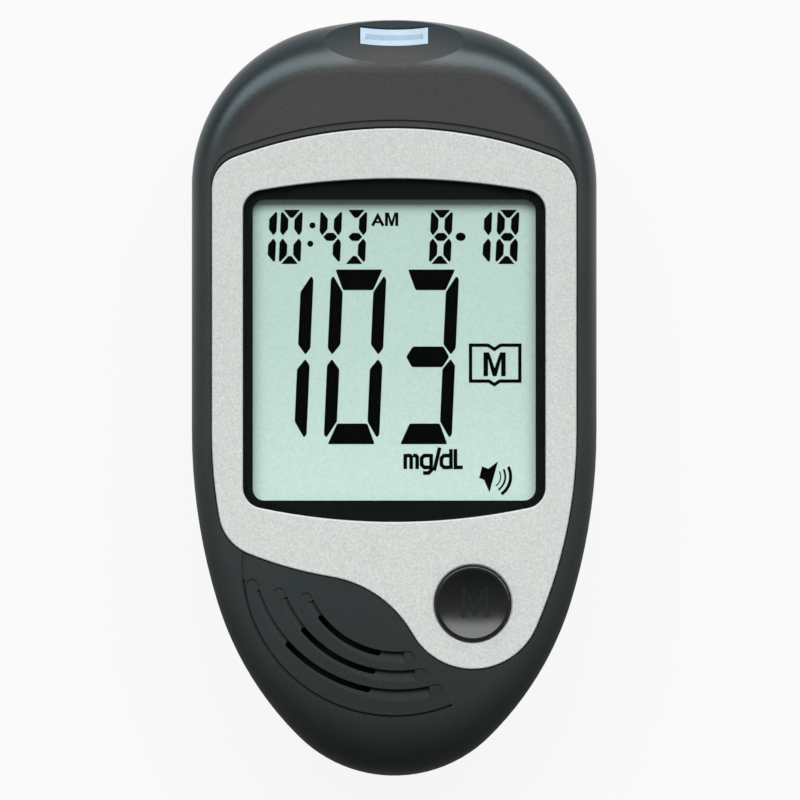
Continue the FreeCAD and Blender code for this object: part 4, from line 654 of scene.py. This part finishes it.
# %% Lay out the digits
LARGE = {"width": 7.12, "height": 22.42, "upright": 1.6, "level": 2.64, "part": 0.3, "slant": 0.0}
SMALL = {"width": 2.8, "height": 6.95, "upright": 1.0, "level": 1.02, "part": 0.17, "slant": 0.17}
BLUNT = 0.11
ROWS = {
    "reading_digits": (LARGE, -5.93, [("1", -11.31), ("0", -1.96), ("3", 7.36)]),
    "time_digits": (SMALL, 17.21, [("1", -15.3), ("0", -12.04), ("4", -6.97), ("3", -3.75)]),
    "date_digits": (SMALL, 17.21, [("8", 7.24), ("1", 12.3), ("8", 15.78)]),
}
for row_name, (style, foot, digits) in ROWS.items():
    row_shape = bmesh.new()
    bars = digit_bars(**style)
    for digit, right in digits:
        left = right - style["width"]
        for letter in BARS_OF[digit]:
            leaning = [(left + x + y * LEAN, foot + y) for x, y in bars[letter]]
            ink_bar(row_shape, leaning, BLUNT * style["upright"])
    print(row_name, "faces:", len(row_shape.faces))
    ink_piece(row_name, row_shape)

# %% [markdown]
# ## Dots of the time and the date
# Two round dots part the hours from the minutes, and a wider oval one parts the month from the day.
# They are circles of a few corners, stretched where they need to be.

# %% Colon and date mark
def ink_disc(shape, x, y, half_width, half_height, segments):
    """Adds a round or oval dot to a bmesh, with its place and size in mm."""
    turn = [2 * math.pi * step / segments for step in range(segments)]
    rim = [(x + half_width * math.cos(t), y + half_height * math.sin(t)) for t in turn]
    ink_bar(shape, rim)


DOTS = [
    (-10.5, 22.16, 0.39, 0.39, 16),
    (-10.78, 19.81, 0.39, 0.39, 16),
    (8.54, 20.7, 0.65, 0.54, 12),
]
dots = bmesh.new()
for dot in DOTS:
    ink_disc(dots, *dot)
ink_piece("display_dots", dots)
print("dots:", len(DOTS))

# %% [markdown]
# ## Words of the display
# The display names the half of the day and the unit of the reading, and a letter stands in the sign
# of the memory. At this size a letter is a few strokes of one width. A stroke is a path of corners,
# and its outline is found by going along it on one side and back on the other, with the corners
# mitred.

# %% Unit and small letters
def ink_stroke(shape, path, wide):
    """Adds a line of that width along a path, in mm, to a bmesh."""
    spots = [Vector(spot) for spot in path]
    ways = [(end - start).normalized() for start, end in zip(spots, spots[1:])]
    sides = []
    for spot, before, after in zip(spots, ways[:1] + ways, ways + ways[-1:]):
        across = Vector((-before.y - after.y, before.x + after.x)).normalized()
        reach = wide / 2 / across.dot(Vector((-before.y, before.x)))
        sides.append((spot + across * reach, spot - across * reach))
    ink_bar(shape, [side[0] for side in sides] + [side[1] for side in reversed(sides)])


def ink_m(name, left, foot, width, height, stem):
    """A bold capital M, drawn as one outline because thickened strokes would run together in it."""
    shoulder, notch, point = 1.25 * stem, 0.34 * height, 0.42 * stem
    half = [(0, 0), (0, height), (shoulder, height)]
    inside = [(width / 2 - point, 0), (stem, 0.72 * height), (stem, 0)]
    outline = half + [(width / 2, notch)] + [(width - x, y) for x, y in reversed(half)]
    outline += [(width - x, y) for x, y in reversed(inside)] + inside
    shape = bmesh.new()
    ink_bar(shape, [(left + x, foot + y) for x, y in outline])
    ink_piece(name, shape)


THIN, BOLD = 0.36, 0.47
DAY_FOOT = 22.1
letter_a = bmesh.new()
ink_stroke(letter_a, [(-2.8, DAY_FOOT), (-2.11, 23.42), (-1.42, DAY_FOOT)], THIN)
ink_stroke(letter_a, [(-2.42, 22.58), (-1.8, 22.58)], 0.7 * THIN)
ink_piece("half_day_a", letter_a)
ink_m("half_day_m", -1.18, DAY_FOOT, 1.7, 1.7, 0.38)

UNIT_PLACE = Vector((1.2, -9.12))
CUT, LINE, SMALL_TOP, STEM_TOP, TALL_TOP, BELOW = 0.34, 0.2, 1.72, 1.93, 2.55, -0.52
ARCH = [(0, SMALL_TOP), (0.55 - CUT / 2, SMALL_TOP), (0.55, SMALL_TOP - CUT / 2), (0.55, 0)]
BOWL = [(1.02, SMALL_TOP), (CUT, SMALL_TOP), (0, SMALL_TOP - CUT)]
BOWL += [(0, LINE + CUT), (CUT, LINE), (1.02, LINE)]
UNIT = [
    (0.22, [(0, 0), (0, STEM_TOP)]),
    (0.43, ARCH),
    (1.2, ARCH),
    (2.32, BOWL),
    (3.55, [(0, STEM_TOP), (0, BELOW + CUT), (-CUT, BELOW), (-1.05, BELOW)]),
    (3.94, [(0, -0.2), (0.7, 2.75)]),
    (4.86, BOWL),
    (6.09, [(0, 0), (0, TALL_TOP)]),
    (6.66, [(0, TALL_TOP), (0, LINE), (0.95, LINE)]),
]
unit = bmesh.new()
for start, path in UNIT:
    ink_stroke(unit, [UNIT_PLACE + Vector((start + x, y)) for x, y in path], BOLD)
ink_piece("unit_letters", unit)
ink_m("memory_letter", 11.47, 2.79, 2.85, 3.06, 0.58)
print("strokes of the unit:", len(UNIT))

# %% [markdown]
# ## Sign of the memory
# An open book round a letter shows that the reading is kept in the memory. Its outline is one face
# with a dip in the middle of its top and its foot. Insetting the face leaves an even border, and
# the middle is deleted.

# %% Open book
BOOK_BORDER = 0.43
BOOK_LEFT, BOOK_RIGHT, BOOK_FOOT, BOOK_TOP = 9.59, 16.35, 1.95, 6.99
FOLD_LEFT, FOLD, FOLD_RIGHT = 12.1, 12.86, 13.6
BOOK = [(BOOK_LEFT, BOOK_TOP), (BOOK_LEFT, BOOK_FOOT), (FOLD_LEFT, BOOK_FOOT), (FOLD, 1.45)]
BOOK += [(FOLD_RIGHT, BOOK_FOOT), (BOOK_RIGHT, BOOK_FOOT), (BOOK_RIGHT, BOOK_TOP)]
BOOK += [(FOLD_RIGHT, BOOK_TOP), (FOLD, 6.5), (FOLD_LEFT, BOOK_TOP)]
book = bmesh.new()
corners = [book.verts.new((x * MM, y * MM, GLASS)) for x, y in BOOK]
page = [book.faces.new(corners)]
book.normal_update()
bmesh.ops.inset_region(
    book, faces=page, thickness=BOOK_BORDER * MM, use_even_offset=True, use_boundary=True
)
bmesh.ops.delete(book, geom=page, context="FACES")
raise_ink(book, book.faces[:])
ink_piece("memory_book", book)
print("book border in mm:", BOOK_BORDER)

# %% [markdown]
# ## Sign of the voice
# A small loudspeaker with three waves shows that the meter speaks. The horn is one outline. Each
# wave is a short edge that is spun round the horn's mouth through part of a circle.

# %% Loudspeaker with three waves
SIGN_PLACE = Vector((12.2, -10.1))
SIGN_TURN = math.radians(-14)
HORN = [(-1.2, -0.5), (-0.55, -0.55), (0.52, -1.95), (0.62, 2.15), (-0.35, 0.95), (-1.2, 1.05)]
WAVES = [(1.4, 0.14), (1.95, 0.24), (2.55, 0.4)]
WAVE_SWEEP = math.radians(82)
WAVE_STEPS = 14
WAVE_LOW = SIGN_TURN - WAVE_SWEEP / 2
turn_sign = Matrix.Rotation(SIGN_TURN, 2)
sign = bmesh.new()
ink_bar(sign, [turn_sign @ Vector(corner) + SIGN_PLACE for corner in HORN])
sign_shift = (SIGN_PLACE * MM).to_3d() + Vector((0, 0, GLASS))
for radius, wide in WAVES:
    reach = (radius * MM, (radius + wide) * MM)
    before = set(sign.verts)
    ends = [sign.verts.new((r * math.cos(WAVE_LOW), r * math.sin(WAVE_LOW), 0)) for r in reach]
    swept = [sign.edges.new(ends), *ends]
    bmesh.ops.spin(
        sign, geom=swept, angle=WAVE_SWEEP, steps=WAVE_STEPS, axis=(0, 0, 1), cent=(0, 0, 0)
    )
    raise_ink(sign, [face for face in sign.faces if face.verts[0] not in before])
    wave = [vert for vert in sign.verts if vert not in before]
    bmesh.ops.translate(sign, vec=sign_shift, verts=wave)
ink_piece("voice_sign", sign)
print("waves:", len(WAVES))

# %% [markdown]
# ## Letter of the button
# A faint raised letter in the hollow of the button says that it also calls up the memory. It is
# matt, so it shows dark where the hollow mirrors the lamp. Four strokes make it. Each one is a flat
# quad that is cut into a fine grid, and every corner of the grid is then dropped onto the hollow
# with a ray, so that the letter follows its curve.

# %% Raised letter in the hollow
GRID_CUTS = 7


def raised_sign(name, node, strokes, middle, side, rise, body, material):
    """Strokes, in mm round a middle, laid on a solid part from above (side 1) or below (side -1)."""
    solid = frame["nodes"][node]
    to_solid = solid.matrix_world.inverted()
    shape = bmesh.new()
    for stroke in strokes:
        places = [middle + Vector(corner) * MM for corner in stroke]
        face = shape.faces.new([shape.verts.new((x, y, 0)) for x, y in places])
        bmesh.ops.subdivide_edges(shape, edges=face.edges[:], cuts=GRID_CUTS, use_grid_fill=True)
    for vert in shape.verts:
        start = to_solid @ Vector((vert.co.x, vert.co.y, side))
        place = solid.ray_cast(start, Vector((0, 0, -side)))[1]
        vert.co.z = (solid.matrix_world @ place).z
    risen = bmesh.ops.extrude_face_region(shape, geom=shape.faces[:])["geom"]
    lifted = [vert for vert in risen if isinstance(vert, bmesh.types.BMVert)]
    bmesh.ops.translate(shape, vec=(0, 0, side * rise), verts=lifted)
    bmesh.ops.recalc_face_normals(shape, faces=shape.faces)
    mesh = bpy.data.meshes.new(name)
    shape.to_mesh(mesh)
    shape.free()
    mesh.materials.append(material)
    piece = bpy.data.objects.new(name, mesh)
    scene.collection.objects.link(piece)
    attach(piece, body)
    print(name, "faces:", len(mesh.polygons))


LETTER_SHIFT = Vector((0.27, 0.22)) * MM
LETTER_RISE = 0.08 * MM
TALL = 1.95
STEM = [(-1.75, -TALL), (-1.2, -TALL), (-1.2, TALL), (-1.75, TALL)]
SLOPE = [(-1.1, TALL), (-1.1, 0.65), (-0.04, -1.8), (-0.04, -0.5)]
LETTER = [STEM, SLOPE] + [[(-x, y) for x, y in reversed(stroke)] for stroke in (STEM, SLOPE)]
letter_finish = Finish("letter_grey", {"Specular IOR Level": 0.1})
letter_grain = letter_finish.noise(3000, detail=1.0)
letter_finish.paint(letter_finish.tint(tone(36, 39, 40), letter_grain, 0.85, 1.15))
letter_finish.gloss(letter_grain, 0.55, 0.7)
letter_middle = button_centre.to_2d() + LETTER_SHIFT
raised_sign(
    "button_letter", "main_button", LETTER, letter_middle, 1, LETTER_RISE,
    "main_button", letter_finish.material,
)

# %% [markdown]
# ## Signs of the cells
# Someone who changes the cells needs to see which way round they go. A plus and a minus are printed
# on each sleeve, near the ends, on the side that faces the door. They are laid on the sleeve in the
# same way as the letter, but from below.

# %% Plus and minus on the sleeves
ARM, HALF = 1.5, 0.3
ACROSS = [(-ARM, -HALF), (ARM, -HALF), (ARM, HALF), (-ARM, HALF)]
UPWARD = [(-HALF, HALF), (HALF, HALF), (HALF, ARM), (-HALF, ARM)]
DOWNWARD = [(-HALF, -ARM), (HALF, -ARM), (HALF, -HALF), (-HALF, -HALF)]
MINUS, PLUS = [ACROSS], [ACROSS, UPWARD, DOWNWARD]
PRINT_RISE = 0.02 * MM
SIGN_FROM_END = 6 * MM
NUB_ENDS = {"cell_left": 1, "cell_right": -1}
for cell, nub_end in NUB_ENDS.items():
    low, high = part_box(cell)
    half_length = (high.y - low.y) / 2 - SIGN_FROM_END
    for sign_name, strokes, end in (("plus", PLUS, nub_end), ("minus", MINUS, -nub_end)):
        spot = ((low + high) / 2).to_2d() + Vector((0, end * half_length))
        raised_sign(
            cell + "_" + sign_name, cell, strokes, spot, -1, PRINT_RISE,
            "meter", letter_finish.material,
        )
